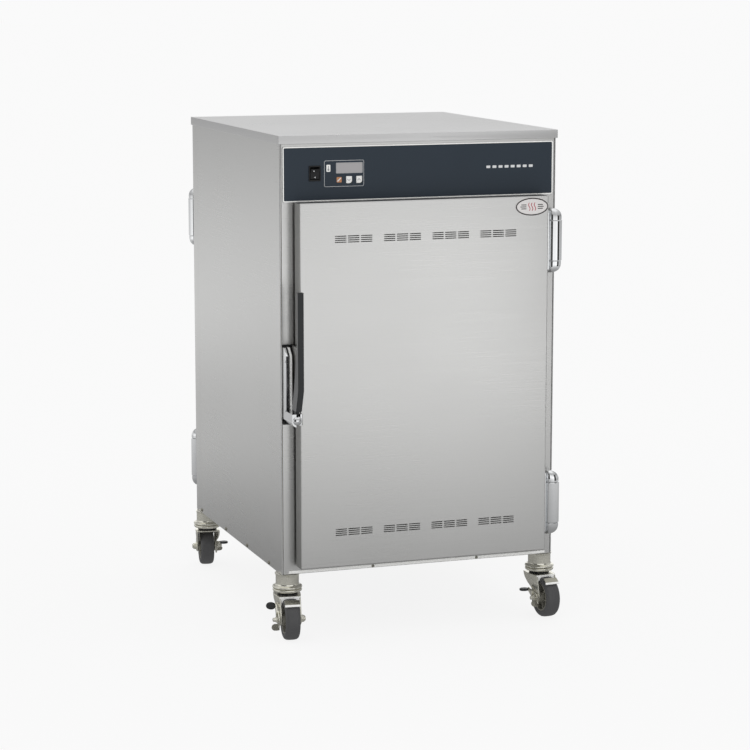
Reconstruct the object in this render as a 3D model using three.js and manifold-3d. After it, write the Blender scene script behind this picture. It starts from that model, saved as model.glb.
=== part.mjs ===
// A pass-through food holding cabinet on four swivel casters: an insulated tunnel with a door at each
// end, electric heating cable round the tunnel, a control panel above the front door, wire side racks
// and wire shelves inside. Millimetres, +Z up, the front faces -Y, and the origin is on the floor
// under the middle of the cabinet.

import * as THREE from 'three';
import { mergeVertices } from 'three/addons/utils/BufferGeometryUtils.js';
import Module from 'manifold-3d';

const wasm = await Module();
wasm.setup();

// ---------------------------------------------------------------- driving dimensions

const GAP = 0.3; // clearance between pieces that meet face to face
const SHEET = 1.5; // stainless sheet of the casing
const THIN_SHEET = 1.2; // stainless sheet of the liner and the doors

const BODY_WIDTH = 624;
const BODY_DEPTH = 695;
const BODY_BOTTOM = 139.5;
const BODY_TOP = 1075.5;
const HALF_WIDTH = BODY_WIDTH / 2;
const HALF_DEPTH = BODY_DEPTH / 2;
const FRONT = -HALF_DEPTH; // plane of the front frame

const COVER_OVERHANG = 3;
const COVER_LIP = 18;
const PANEL_TOP = BODY_TOP - SHEET - GAP; // top edge of the side panels and frames
const CORNER_RADIUS = 2.2;
const CORNER_RETURN = 3; // width of a side panel's fold on the front
const REAR_RETURN = 39; // the rear frame wraps this far round each side

const CAVITY_HALF_WIDTH = 262;
const CAVITY_BOTTOM = 180;
const CAVITY_TOP = 912;

const INSULATION = { halfWidth: 303, halfDepth: 340, z: [142, 930] };
const INSULATION_BORE = { halfWidth: 268, z: [CAVITY_BOTTOM - 6, CAVITY_TOP + 2] };
const CABLE = { loops: 8, thick: 2.6, pitch: 80, top: 880 };
const PAN_WALL = 30; // height of the base pan's walls

const CONTROL_WINDOW = { x: [-262, -108], z: [953, 1038] }; // cut in the front frame behind the panel
const CONTROL_HALF_WIDTH = 304;
const CONTROL_BOTTOM = 935.5;
const CONTROL_TOP = 1052;
const CONTROL_THICKNESS = 2;

const DOOR_LEFT = -281.5;
const DOOR_RIGHT = 279;
const DOOR_BOTTOM = 158;
const DOOR_TOP = 937.3;
const DOOR_THICKNESS = 34;
const DOOR_STANDOFF = 8; // the gasket holds the door this far off the frame
const DOOR_BACK = FRONT - DOOR_STANDOFF;
const DOOR_FRONT = DOOR_BACK - DOOR_THICKNESS;

const VENT_GROUPS = 4;
const VENT_GROUP_PITCH = 108.6;
const VENT_COLUMNS = 3;
const VENT_SLOT_LENGTH = 25.6;
const VENT_COLUMN_PITCH = 28.7;
const VENT_SLOTS = 4;
const VENT_SLOT_HEIGHT = 2;
const VENT_SLOT_PITCH = 4.25;
const VENT_ROW_HEIGHTS = { lower: DOOR_BOTTOM + 75.5, upper: DOOR_TOP - 77.3 };
const VENT_WINDOW = [48, 15]; // openings of the inner panel and of the vent slides
const VENT_SLIDE = { halfLength: 200, height: 22, thickness: 1.5 };
const VENT_RAIL = { x: [-205, 255], thick: 2, standsOut: 3 };
const VENT_TAB = { halfWidth: 5, halfHeight: 8 };
const INNER_PAN_DEPTH = 14;

const HINGE_X = 300;
const HINGE_Y = FRONT - 24;
const HINGE_RADIUS = 17;
const HINGE_PIN_RADIUS = 4;
const HINGE_CAP = 26; // height of each end cap
const HINGE_LEAF = { x: [284, 308], thick: 4 }; // the leaf on the frame
const HINGE_WEB_X = [290, 308];
const HINGE_LEAF_HALF_DEPTH = 13; // the leaf on the door's edge
const HINGE_DOME = 7;
const HINGE_SPANS = { lower: [190, 333.2], upper: [769, 909] };

const GASKET = { inset: 6, width: 13, squeeze: 0.5 };

const LATCH_PIVOT = { x: -296, y: FRONT - 60, z: 486 };
const LATCH_PIN_RADIUS = 3.5;
const LATCH_BOSS_RADIUS = 14;
const LATCH_BOSS_HALF_WIDTH = 10.5;
const TONGUE_HALF_WIDTH = 4;
const STRIKE_PLATE = { x: [-308, -285], z: [466, 637], thick: 3 };
const CHANNEL = { x: [-308, -291.5], z: [474, 632], slantZ: 616, front: FRONT - 27, slantY: FRONT - 12 };
const CHANNEL_GROOVE = { x: [-303.5, -296], bottom: 480, back: FRONT - 17 };
const LATCH_STRIP = { x: -290.5, z: [474, 636] };
const LEVER = { bend: 550, webTop: 640, webDepth: 20, endAbovePivot: 20, endLeft: 7, endRight: 6 };
const GRIP = { left: -298, right: -284.8, back: FRONT - 69.5, front: FRONT - 80, top: 756 };

const WHEEL_RADIUS = 44.5;
const WHEEL_SIDES = 20;
const WHEEL_HALF_WIDTH = 16;
const CASTER_TRAIL = 33;
const LEG_INSET_X = 19; // leg axis to the side panels
const LEG_INSET_Y = 22; // leg axis to the front and rear frames
const LEG_RADIUS = 25;
const RACE_RADIUS = 32;
const RACE_TOP = 117;
const RACE_SPLIT = 107;
const RACE_BOTTOM = 97;
const KINGPIN_RADIUS = 6;
const KINGPIN_TOP = 130;
const AXLE_RADIUS = 6;
const RUNNING_GAP = 0.5; // between a faceted pin and its faceted bore
const FORK_HALF_GAP = 20;
const FORK_PLATE = 3;
const CROWN = { y: [-30, 24], bottom: 93.5 };
const CHEEK = { top: 96.5, frontY: -44, frontZ: 62, round: 12, backZ: 88, bend: [4, 70] };
const GUARD = { halfWidth: 16, angles: [84, 140], radii: [3, 6.5] }; // radii are added to the wheel's
const AXLE_ENDS = [-38, 32];
const NUT = { radius: 9.5, span: [-34, -27.5] };
const BRAKE_PLATE = { gap: 0.4, thick: 3.2, hub: 10.5 };
const BRAKE_LIFT = 35; // degrees between a pedal that is down and one that is up
// Degrees each caster stands turned from a wheel straight in front of its swivel axis.
const HEADINGS = { frontLeft: -7, frontRight: 4, rearLeft: 171, rearRight: 170 };

const RACK_LEVELS = 6;
const RACK_FIRST = 215;
const RACK_PITCH = 115;
const RACK_WIRE = 5;
const THIN_WIRE = 3.4;
const RUNNER_X = 226; // inner side of the runners
const POST_X = 254.5;
const SHELF_LEVELS = { lower: 1, upper: 4 };
const SHELF_HALF_WIDTH = 246;
const SHELF_HALF_DEPTH = 320;
const SHELF_WIRES = 11;
const POST_Y = 240;
const POST_REACH = { below: 25, above: 30 }; // past the first and last runners
const SPACER_HEIGHTS = [240, 800];
const RUNNER_HALF_LENGTH = 320;
const SENSOR = {
  bracketY: [165, 185],
  bracketZ: [856, 872],
  standoff: 7,
  probeY: [120, 230],
  probeRadius: 3,
};

// ---------------------------------------------------------------- materials

function material(color, roughness, metalness) {
  return new THREE.MeshStandardMaterial({ color, roughness, metalness });
}

const stainless = material(0xc3c4c2, 0.35, 0.9);
const innerStainless = material(0xb4b5b4, 0.45, 0.9);
const chrome = material(0xd8d9da, 0.12, 1);
const zinc = material(0x9c9a8c, 0.4, 0.8);
const panelBlue = material(0x363e47, 0.55, 0.1);
const blackPlastic = material(0x242628, 0.45, 0);
const whitePlastic = material(0xe8e8e6, 0.5, 0);
const displayGrey = material(0x9a9697, 0.25, 0);
const gasketGrey = material(0x3c3c3b, 0.8, 0);
const tyreGrey = material(0x424244, 0.75, 0);
const woolYellow = material(0xd8c98a, 1, 0);
const boardGreen = material(0x2f6b45, 0.6, 0);
const cableWhite = material(0xd9d4c4, 0.7, 0);

// ---------------------------------------------------------------- solids

function solid(geometry) {
  const plain = geometry.index ? geometry.toNonIndexed() : geometry.clone();
  plain.deleteAttribute('normal');
  plain.deleteAttribute('uv');
  const merged = mergeVertices(plain, 1e-4);
  const vertProperties = merged.attributes.position.array;
  const triVerts = new Uint32Array(merged.index.array);
  return new wasm.Manifold(new wasm.Mesh({ numProp: 3, vertProperties, triVerts }));
}

function join(solids) {
  return solids.reduce((whole, piece) => whole.add(piece));
}

function block([x0, x1], [y0, y1], [z0, z1]) {
  const box = new THREE.BoxGeometry(x1 - x0, y1 - y0, z1 - z0);
  return solid(box.translate((x0 + x1) / 2, (y0 + y1) / 2, (z0 + z1) / 2));
}

const X = new THREE.Vector3(1, 0, 0);
const Y = new THREE.Vector3(0, 1, 0);
const Z = new THREE.Vector3(0, 0, 1);

// An outline of [a, b] points pushed from low to high along an axis: [y, z] along x, [x, z] along y
// and [x, y] along z.
function prism(axis, outline, low, high) {
  const shape = new THREE.Shape(outline.map(([a, b]) => new THREE.Vector2(a, b)));
  const geometry = new THREE.ExtrudeGeometry(shape, { depth: high - low, bevelEnabled: false });
  const turn = new THREE.Matrix4();
  if (axis === 'x') turn.makeBasis(Y, Z, X).setPosition(low, 0, 0);
  if (axis === 'y') turn.makeBasis(X, Z, Y.clone().negate()).setPosition(0, high, 0);
  if (axis === 'z') turn.setPosition(0, 0, low);
  return solid(geometry.applyMatrix4(turn));
}

function arc([a, b], radius, from, to, steps) {
  return Array.from({ length: steps + 1 }, (_, i) => {
    const angle = THREE.MathUtils.degToRad(from + ((to - from) * i) / steps);
    return [a + radius * Math.cos(angle), b + radius * Math.sin(angle)];
  });
}

// A round bar, or a disc, along an axis through the point [a, b] of the plane across it.
function bar(axis, [a, b], radius, low, high, sides = 24) {
  return prism(axis, arc([a, b], radius, 0, 360, sides).slice(0, -1), low, high);
}

function surface(manifold) {
  const mesh = manifold.getMesh();
  const geometry = new THREE.BufferGeometry();
  geometry.setAttribute('position', new THREE.BufferAttribute(mesh.vertProperties, 3));
  geometry.setIndex(new THREE.BufferAttribute(mesh.triVerts, 1));
  const faceted = geometry.toNonIndexed();
  faceted.computeVertexNormals();
  return faceted;
}

function piece(name, manifold, look) {
  const mesh = new THREE.Mesh(surface(manifold), look);
  mesh.name = name;
  return mesh;
}

// ---------------------------------------------------------------- casing

function topCover() {
  const x = HALF_WIDTH + COVER_OVERHANG;
  const y = HALF_DEPTH + COVER_OVERHANG;
  const outside = block([-x, x], [-y, y], [BODY_TOP - COVER_LIP, BODY_TOP]);
  const inside = block(
    [-x + SHEET, x - SHEET],
    [-y + SHEET, y - SHEET],
    [BODY_TOP - COVER_LIP - 1, BODY_TOP - SHEET],
  );
  return piece('top_cover', outside.subtract(inside), stainless);
}

// A side panel ends in a narrow fold round the front corner. side is -1 on the left and 1 on the right.
function sidePanel(name, side) {
  const corner = [-HALF_WIDTH + CORNER_RADIUS, FRONT + CORNER_RADIUS];
  const rearEdge = HALF_DEPTH - REAR_RETURN - GAP;
  const fold = -HALF_WIDTH + CORNER_RETURN;
  const outline = [
    [fold, FRONT],
    ...arc(corner, CORNER_RADIUS, 270, 180, 4),
    [-HALF_WIDTH, rearEdge],
    [-HALF_WIDTH + SHEET, rearEdge],
    ...arc(corner, CORNER_RADIUS - SHEET, 180, 270, 3),
    [fold, FRONT + SHEET],
  ];
  const turned = outline.map(([x, y]) => [-side * x, y]);
  return piece(name, prism('z', turned, BODY_BOTTOM, PANEL_TOP), stainless);
}

function cavityCut(low, high) {
  return block([-CAVITY_HALF_WIDTH, CAVITY_HALF_WIDTH], [low, high], [CAVITY_BOTTOM, CAVITY_TOP]);
}

function frontFrame() {
  const x = HALF_WIDTH - CORNER_RETURN - 1;
  const controlWindow = block(CONTROL_WINDOW.x, [FRONT - 1, FRONT + SHEET + 1], CONTROL_WINDOW.z);
  const plate = block([-x, x], [FRONT, FRONT + SHEET], [BODY_BOTTOM, PANEL_TOP]);
  const cut = plate.subtract(cavityCut(FRONT - 1, FRONT + SHEET + 1)).subtract(controlWindow);
  return piece('front_frame', cut, stainless);
}

const GLAND = { x: -230, z: 1000, hole: 9, nut: 14, bore: 5 };

function rearFrame() {
  const plate = block(
    [-HALF_WIDTH, HALF_WIDTH],
    [HALF_DEPTH - SHEET, HALF_DEPTH],
    [BODY_BOTTOM, PANEL_TOP],
  );
  const returns = [-1, 1].map((side) => {
    const x = side * (HALF_WIDTH - SHEET / 2);
    return block(
      [x - SHEET / 2, x + SHEET / 2],
      [HALF_DEPTH - REAR_RETURN, HALF_DEPTH],
      [BODY_BOTTOM, PANEL_TOP],
    );
  });
  const glandHole = bar('y', [GLAND.x, GLAND.z], GLAND.hole, HALF_DEPTH - 5, HALF_DEPTH + 5, 8);
  const frame = join([plate, ...returns])
    .subtract(cavityCut(HALF_DEPTH - SHEET - 1, HALF_DEPTH + 1))
    .subtract(glandHole);
  return piece('rear_frame', frame, stainless);
}

const LEG_X = HALF_WIDTH - LEG_INSET_X;
const LEG_Y = HALF_DEPTH - LEG_INSET_Y;

// The base pan carries the four welded caster legs, each with the upper ball race and the blind
// bore of the kingpin.
function basePan() {
  const x = HALF_WIDTH - SHEET - GAP;
  const y = HALF_DEPTH - SHEET - GAP;
  const floor = BODY_BOTTOM + GAP;
  const outside = block([-x, x], [-y, y], [floor, floor + PAN_WALL]);
  const inside = block(grown([-x, x], -SHEET), grown([-y, y], -SHEET), [floor + SHEET, floor + PAN_WALL + 1]);
  const legs = [-1, 1].flatMap((sideX) =>
    [-1, 1].map((sideY) => {
      const centre = [sideX * LEG_X, sideY * LEG_Y];
      const tube = bar('z', centre, LEG_RADIUS, RACE_TOP - 1, BODY_BOTTOM - GAP, 20);
      const race = bar('z', centre, RACE_RADIUS, RACE_SPLIT, RACE_TOP, 20);
      const neck = bar('z', centre, LEG_INSET_X - SHEET - 1, RACE_TOP, floor + SHEET / 2, 12);
      const bore = bar('z', centre, KINGPIN_RADIUS + RUNNING_GAP, RACE_SPLIT - 1, KINGPIN_TOP + 1, 12);
      return join([tube, race, neck]).subtract(bore);
    }),
  );
  return piece('base_pan', join([outside.subtract(inside), ...legs]), stainless);
}

// ---------------------------------------------------------------- tunnel, insulation and heater

const LINER_END = HALF_DEPTH - SHEET - GAP;

function liner() {
  const x = CAVITY_HALF_WIDTH + THIN_SHEET;
  const tube = block(
    [-x, x],
    [-LINER_END, LINER_END],
    [CAVITY_BOTTOM - THIN_SHEET, CAVITY_TOP + THIN_SHEET],
  ).subtract(cavityCut(-HALF_DEPTH, HALF_DEPTH));
  return piece('liner', tube, innerStainless);
}

function insulation() {
  const { halfWidth, halfDepth, z } = INSULATION;
  const outside = block([-halfWidth, halfWidth], [-halfDepth, halfDepth], z);
  const bore = INSULATION_BORE;
  const inside = block([-bore.halfWidth, bore.halfWidth], grown([-halfDepth, halfDepth], 1), bore.z);
  return piece('insulation_jacket', outside.subtract(inside), woolYellow);
}

// One cable hugs the tunnel: down the left wall, under the floor and up the right wall, stepping
// towards the rear at the top of each loop.
function heatingCable() {
  const { loops, thick, pitch, top } = CABLE;
  const side = CAVITY_HALF_WIDTH + THIN_SHEET + GAP;
  const under = CAVITY_BOTTOM - THIN_SHEET - GAP;
  const firstY = (-pitch * (loops - 1)) / 2;
  const runs = Array.from({ length: loops }, (_, i) => {
    const y = firstY + i * pitch;
    const across = [y - thick / 2, y + thick / 2];
    return [
      block([-side - thick, -side], across, [under - thick, top]),
      block([side, side + thick], across, [under - thick, top]),
      block([-side - thick, side + thick], across, [under - thick, under]),
    ];
  });
  const steps = Array.from({ length: loops - 1 }, (_, i) => {
    const y = firstY + i * pitch;
    const x = (i % 2 ? -1 : 1) * (side + thick / 2);
    return block(
      [x - thick / 2, x + thick / 2],
      [y - thick / 2, y + pitch + thick / 2],
      [top - thick, top],
    );
  });
  return piece('heating_cable', join([...runs.flat(), ...steps]), cableWhite);
}

// ---------------------------------------------------------------- racks, shelves and sensor

function sideRack(name, side) {
  const posts = [-POST_Y, POST_Y].flatMap((y) => {
    const across = [y - RACK_WIRE / 2, y + RACK_WIRE / 2];
    const top = RACK_FIRST + (RACK_LEVELS - 1) * RACK_PITCH + POST_REACH.above;
    const post = block([POST_X, POST_X + RACK_WIRE], across, [RACK_FIRST - POST_REACH.below, top]);
    const thin = [y - THIN_WIRE / 2, y + THIN_WIRE / 2];
    const reach = [POST_X + 1, CAVITY_HALF_WIDTH - GAP];
    const spacers = SPACER_HEIGHTS.map((z) => block(reach, thin, [z, z + RACK_WIRE]));
    return [post, ...spacers];
  });
  const runners = Array.from({ length: RACK_LEVELS }, (_, level) => {
    const z = RACK_FIRST + level * RACK_PITCH;
    const height = [z, z + RACK_WIRE];
    const thin = [z + (RACK_WIRE - THIN_WIRE) / 2, z + (RACK_WIRE + THIN_WIRE) / 2];
    const length = [-RUNNER_HALF_LENGTH, RUNNER_HALF_LENGTH];
    const runner = block([RUNNER_X, RUNNER_X + RACK_WIRE], length, height);
    const arms = [-POST_Y, POST_Y].map((y) =>
      block([RUNNER_X + 1, POST_X + 1], [y - THIN_WIRE / 2, y + THIN_WIRE / 2], thin),
    );
    return [runner, ...arms];
  });
  const rack = join([...posts, ...runners.flat()]);
  return piece(name, side < 0 ? rack.mirror([1, 0, 0]) : rack, chrome);
}

function wireShelf(name, level) {
  const z = RACK_FIRST + level * RACK_PITCH + RACK_WIRE + GAP;
  const height = [z, z + RACK_WIRE];
  const x = SHELF_HALF_WIDTH;
  const y = SHELF_HALF_DEPTH;
  const outside = block([-x, x], [-y, y], height);
  const inside = block(
    [-x + RACK_WIRE, x - RACK_WIRE],
    [-y + RACK_WIRE, y - RACK_WIRE],
    grown(height, 1),
  );
  const pitch = (2 * x) / (SHELF_WIRES + 1);
  const wires = Array.from({ length: SHELF_WIRES }, (_, i) => {
    const left = -x + (i + 1) * pitch - THIN_WIRE / 2;
    return block([left, left + THIN_WIRE], [-y + 1, y - 1], grown(height, (THIN_WIRE - RACK_WIRE) / 2));
  });
  return piece(name, join([outside.subtract(inside), ...wires]), chrome);
}

function airSensor() {
  const wall = -CAVITY_HALF_WIDTH + GAP;
  const bracketX = [wall, wall + SENSOR.standoff + SENSOR.probeRadius];
  const bracket = block(bracketX, SENSOR.bracketY, SENSOR.bracketZ);
  const centre = [wall + SENSOR.standoff, (SENSOR.bracketZ[0] + SENSOR.bracketZ[1]) / 2];
  const probe = bar('y', centre, SENSOR.probeRadius, ...SENSOR.probeY, 8);
  return piece('air_sensor', join([bracket, probe]), innerStainless);
}

// ---------------------------------------------------------------- controls

const PANEL_BACK = FRONT - GAP;
const PANEL_FACE = PANEL_BACK - CONTROL_THICKNESS;
const SWITCH = { x: -235.6, z: 995.6, halfWidth: 13, halfHeight: 16 };
const DISPLAY = { x: [-188.4, -129.7], z: [993.3, 1017.7] };
const KEYS = { down: [-167, -152.6], up: [-144.6, -130.2], z: [972.3, 988.8] };
const KEY_STANDS_OUT = 1.2;
const BOARD = { x: [-215, -112], z: [960, 1030], y: FRONT + 20, thickness: 1.6 };
const BOARD_POSTS = { x: [-213, -118], z: [962, 1024], width: 4 };
const RELAY = { x: [-200, -170], z: [970, 990], depth: 18 };
const TRANSFORMER = { x: [-160, -125], z: [985, 1020], depth: 30 };

function grown([low, high], by) {
  return [low - by, high + by];
}

const SWITCH_BODY = {
  x: [SWITCH.x - SWITCH.halfWidth + 1.5, SWITCH.x + SWITCH.halfWidth - 1.5],
  z: [SWITCH.z - SWITCH.halfHeight + 1.5, SWITCH.z + SWITCH.halfHeight - 1.5],
};

function controlPanel() {
  const through = [PANEL_FACE - 1, PANEL_BACK + 1];
  const plate = block(
    [-CONTROL_HALF_WIDTH, CONTROL_HALF_WIDTH],
    [PANEL_FACE, PANEL_BACK],
    [CONTROL_BOTTOM, CONTROL_TOP],
  );
  const holes = [
    block(grown(SWITCH_BODY.x, GAP), through, grown(SWITCH_BODY.z, GAP)),
    block(grown(DISPLAY.x, GAP), through, grown(DISPLAY.z, GAP)),
    block(grown(KEYS.down, GAP), through, grown(KEYS.z, GAP)),
    block(grown(KEYS.up, GAP), through, grown(KEYS.z, GAP)),
  ];
  return piece('control_panel', plate.subtract(join(holes)), panelBlue);
}

function displayWindow() {
  const lens = block(DISPLAY.x, [PANEL_FACE - 0.2, PANEL_BACK + 3], DISPLAY.z);
  return piece('display_window', lens, displayGrey);
}

function pushKey(name, x) {
  const key = block(x, [PANEL_FACE - KEY_STANDS_OUT, PANEL_BACK + 3], KEYS.z);
  return piece(name, key, whitePlastic);
}

// The switch housing is a collar in front of the panel and a box behind it, open towards the front.
function switchHousing() {
  const collar = block(
    [SWITCH.x - SWITCH.halfWidth, SWITCH.x + SWITCH.halfWidth],
    [PANEL_FACE - GAP - 2, PANEL_FACE - GAP],
    [SWITCH.z - SWITCH.halfHeight, SWITCH.z + SWITCH.halfHeight],
  );
  const body = block(SWITCH_BODY.x, [PANEL_FACE - GAP - 1, FRONT + 24], SWITCH_BODY.z);
  const hollow = block(
    grown(SWITCH_BODY.x, -1.5),
    [PANEL_FACE - 5, FRONT + 20],
    grown(SWITCH_BODY.z, -1.5),
  );
  return piece('switch_housing', join([collar, body]).subtract(hollow), blackPlastic);
}

const ROCKER_TILT = 8; // degrees either side of the middle
const ROCKER_PIVOT_Y = PANEL_FACE + 4;

// The rocker stands in its off position, with its upper half out.
function powerRocker() {
  const half = (SWITCH_BODY.x[1] - SWITCH_BODY.x[0]) / 2 - 1.5 - GAP;
  const outline = [
    [-8, -11],
    [-6.3, 0],
    [-8, 11],
    [3, 8],
    [3, -8],
  ];
  const rocker = piece('power_rocker', prism('x', outline, -half, half), blackPlastic);
  rocker.position.set(SWITCH.x, ROCKER_PIVOT_Y, SWITCH.z);
  rocker.rotation.x = THREE.MathUtils.degToRad(ROCKER_TILT);
  return rocker;
}

// The board stands on four posts behind the panel.
function controlBoard() {
  const { y, thickness } = BOARD;
  const card = block(BOARD.x, [y, y + thickness], BOARD.z);
  const { width } = BOARD_POSTS;
  const posts = BOARD_POSTS.x.flatMap((x) =>
    BOARD_POSTS.z.map((z) => block([x, x + width], [PANEL_BACK + GAP, y + 1], [z, z + width])),
  );
  const relay = block(RELAY.x, [y + 1, y + RELAY.depth], RELAY.z);
  const transformer = block(TRANSFORMER.x, [y + 1, y + TRANSFORMER.depth], TRANSFORMER.z);
  return piece('control_board', join([card, ...posts, relay, transformer]), boardGreen);
}

function cordGland() {
  const nut = bar('y', [GLAND.x, GLAND.z], GLAND.nut, HALF_DEPTH + GAP, HALF_DEPTH + 10, 6);
  const barrel = bar('y', [GLAND.x, GLAND.z], GLAND.hole - 0.7, HALF_DEPTH - 14, HALF_DEPTH + 20, 16);
  const bore = bar('y', [GLAND.x, GLAND.z], GLAND.bore, HALF_DEPTH - 20, HALF_DEPTH + 30, 12);
  return piece('cord_gland', join([nut, barrel]).subtract(bore), blackPlastic);
}

// ---------------------------------------------------------------- doors
// A door set is drawn at the front. The same set, turned half round, is the rear one.

function ventGroupCentres() {
  return Array.from({ length: VENT_GROUPS }, (_, i) => (i - (VENT_GROUPS - 1) / 2) * VENT_GROUP_PITCH);
}

function ventSlots(height) {
  const slots = ventGroupCentres().flatMap((groupX) =>
    Array.from({ length: VENT_COLUMNS }, (_, column) => {
      const x = groupX + (column - (VENT_COLUMNS - 1) / 2) * VENT_COLUMN_PITCH;
      return Array.from({ length: VENT_SLOTS }, (_, row) => {
        const z = height + (row - (VENT_SLOTS - 1) / 2) * VENT_SLOT_PITCH;
        return block(
          [x - VENT_SLOT_LENGTH / 2, x + VENT_SLOT_LENGTH / 2],
          [DOOR_FRONT - 1, DOOR_FRONT + THIN_SHEET + 1],
          [z - VENT_SLOT_HEIGHT / 2, z + VENT_SLOT_HEIGHT / 2],
        );
      });
    }).flat(),
  );
  return join(slots);
}

function ventWindows(height, y) {
  const [width, tall] = VENT_WINDOW;
  const windows = ventGroupCentres().map((x) =>
    block([x - width / 2, x + width / 2], y, [height - tall / 2, height + tall / 2]),
  );
  return join(windows);
}

function doorPanel(name) {
  const outside = block([DOOR_LEFT, DOOR_RIGHT], [DOOR_FRONT, DOOR_BACK], [DOOR_BOTTOM, DOOR_TOP]);
  const inside = block(
    [DOOR_LEFT + THIN_SHEET, DOOR_RIGHT - THIN_SHEET],
    [DOOR_FRONT + THIN_SHEET, DOOR_BACK + 1],
    [DOOR_BOTTOM + THIN_SHEET, DOOR_TOP - THIN_SHEET],
  );
  const slots = Object.values(VENT_ROW_HEIGHTS).map(ventSlots);
  return piece(name, outside.subtract(inside).subtract(join(slots)), stainless);
}

// The inner panel is a shallow pan inside the outer one, with low rails that guide the vent slides.
function doorInner(name) {
  const edge = THIN_SHEET + GAP;
  const x = [DOOR_LEFT + edge, DOOR_RIGHT - edge];
  const z = [DOOR_BOTTOM + edge, DOOR_TOP - edge];
  const outside = block(x, [DOOR_BACK - INNER_PAN_DEPTH, DOOR_BACK], z);
  const inside = block(
    grown(x, -THIN_SHEET),
    [DOOR_BACK - INNER_PAN_DEPTH - 1, DOOR_BACK - THIN_SHEET],
    grown(z, -THIN_SHEET),
  );
  const through = [DOOR_BACK - 5, DOOR_BACK + 5];
  const rails = Object.values(VENT_ROW_HEIGHTS).flatMap((height) =>
    [-1, 1].map((side) => {
      const inner = height + side * (VENT_SLIDE.height / 2 + GAP);
      const outer = inner + side * VENT_RAIL.thick;
      const span = [Math.min(inner, outer), Math.max(inner, outer)];
      return block(VENT_RAIL.x, [DOOR_BACK - 0.5, DOOR_BACK + VENT_RAIL.standsOut], span);
    }),
  );
  const windows = Object.values(VENT_ROW_HEIGHTS).map((height) => ventWindows(height, through));
  const pan = outside.subtract(inside).subtract(join(windows));
  return piece(name, join([pan, ...rails]), innerStainless);
}

function doorGasket(name) {
  const depth = [DOOR_BACK + GAP, FRONT - GASKET.squeeze];
  const low = [DOOR_LEFT + GASKET.inset, DOOR_BOTTOM + GASKET.inset];
  const high = [DOOR_RIGHT - GASKET.inset, DOOR_TOP - GASKET.inset];
  const ring = block([low[0], high[0]], depth, [low[1], high[1]]);
  const hole = block(
    grown([low[0], high[0]], -GASKET.width),
    grown(depth, 1),
    grown([low[1], high[1]], -GASKET.width),
  );
  return piece(name, ring.subtract(hole), gasketGrey);
}

function ventSlide(name, height) {
  const y = [DOOR_BACK + GAP, DOOR_BACK + GAP + VENT_SLIDE.thickness];
  const halfHeight = VENT_SLIDE.height / 2;
  const x = VENT_SLIDE.halfLength;
  const plate = block([-x, x], y, [height - halfHeight, height + halfHeight]);
  const tabX = [-VENT_TAB.halfWidth, VENT_TAB.halfWidth];
  const tab = block(tabX, [y[0], FRONT - 0.8], grown([height, height], VENT_TAB.halfHeight));
  return piece(name, join([plate.subtract(ventWindows(height, grown(y, 1))), tab]), innerStainless);
}

// The frame half is a leaf on the frame, a cap at each end of the barrel, and the pin between them.
function hingeFrameHalf(name, [bottom, top]) {
  const leaf = block(HINGE_LEAF.x, [FRONT - GAP - HINGE_LEAF.thick, FRONT - GAP], [bottom, top]);
  const axis = [HINGE_X, HINGE_Y];
  const round = HINGE_DOME;
  const barrelEnds = [bottom + HINGE_CAP - GAP, top - HINGE_CAP + GAP];
  const profile = [
    [0, bottom],
    [HINGE_RADIUS * 0.6, bottom],
    [HINGE_RADIUS, bottom + round],
    [HINGE_RADIUS, barrelEnds[0]],
    [HINGE_PIN_RADIUS, barrelEnds[0]],
    [HINGE_PIN_RADIUS, barrelEnds[1]],
    [HINGE_RADIUS, barrelEnds[1]],
    [HINGE_RADIUS, top - round],
    [HINGE_RADIUS * 0.6, top],
    [0, top],
  ];
  const outline = profile.map(([radius, height]) => new THREE.Vector2(radius, height));
  const turned = new THREE.LatheGeometry(outline, 16).rotateX(Math.PI / 2).translate(...axis, 0);
  const webs = [
    [bottom + round, barrelEnds[0] - 1],
    [barrelEnds[1] + 1, top - round],
  ].map((span) => block(HINGE_WEB_X, [HINGE_Y, FRONT - GAP - 1], span));
  return piece(name, join([leaf, solid(turned), ...webs]), chrome);
}

// The door half is a leaf on the door's edge and the long middle barrel, bored for the pin.
function hingeDoorHalf(name, [bottom, top]) {
  const axis = [HINGE_X, HINGE_Y];
  const span = [bottom + HINGE_CAP + GAP, top - HINGE_CAP - GAP];
  const leafFace = HINGE_X - HINGE_RADIUS - GAP;
  const depth = grown([HINGE_Y, HINGE_Y], HINGE_LEAF_HALF_DEPTH);
  const leaf = block([DOOR_RIGHT + GAP, leafFace], depth, grown([bottom, top], -4));
  const web = block([leafFace - 1, HINGE_X], depth, span);
  const barrel = bar('z', axis, HINGE_RADIUS + 0.5, span[0], span[1], 16);
  const bore = bar('z', axis, HINGE_PIN_RADIUS + RUNNING_GAP, bottom, top, 12);
  return piece(name, join([leaf, web, barrel]).subtract(bore), chrome);
}

// The strike on the frame is a plate with a raised magnetic channel, cut off at a slant on top.
function latchStrike(name) {
  const plateY = [FRONT - GAP - STRIKE_PLATE.thick, FRONT - GAP];
  const plate = block(STRIKE_PLATE.x, plateY, STRIKE_PLATE.z);
  const [bottom, top] = CHANNEL.z;
  const side = [
    [plateY[0] + 1, bottom],
    [CHANNEL.front, bottom],
    [CHANNEL.front, CHANNEL.slantZ],
    [CHANNEL.slantY, top],
    [plateY[0] + 1, top],
  ];
  const channel = prism('x', side, ...CHANNEL.x);
  const grooveY = [CHANNEL.front - 3, CHANNEL_GROOVE.back];
  const groove = block(CHANNEL_GROOVE.x, grooveY, [CHANNEL_GROOVE.bottom, top + 8]);
  return piece(name, join([plate, channel.subtract(groove)]), chrome);
}

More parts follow.
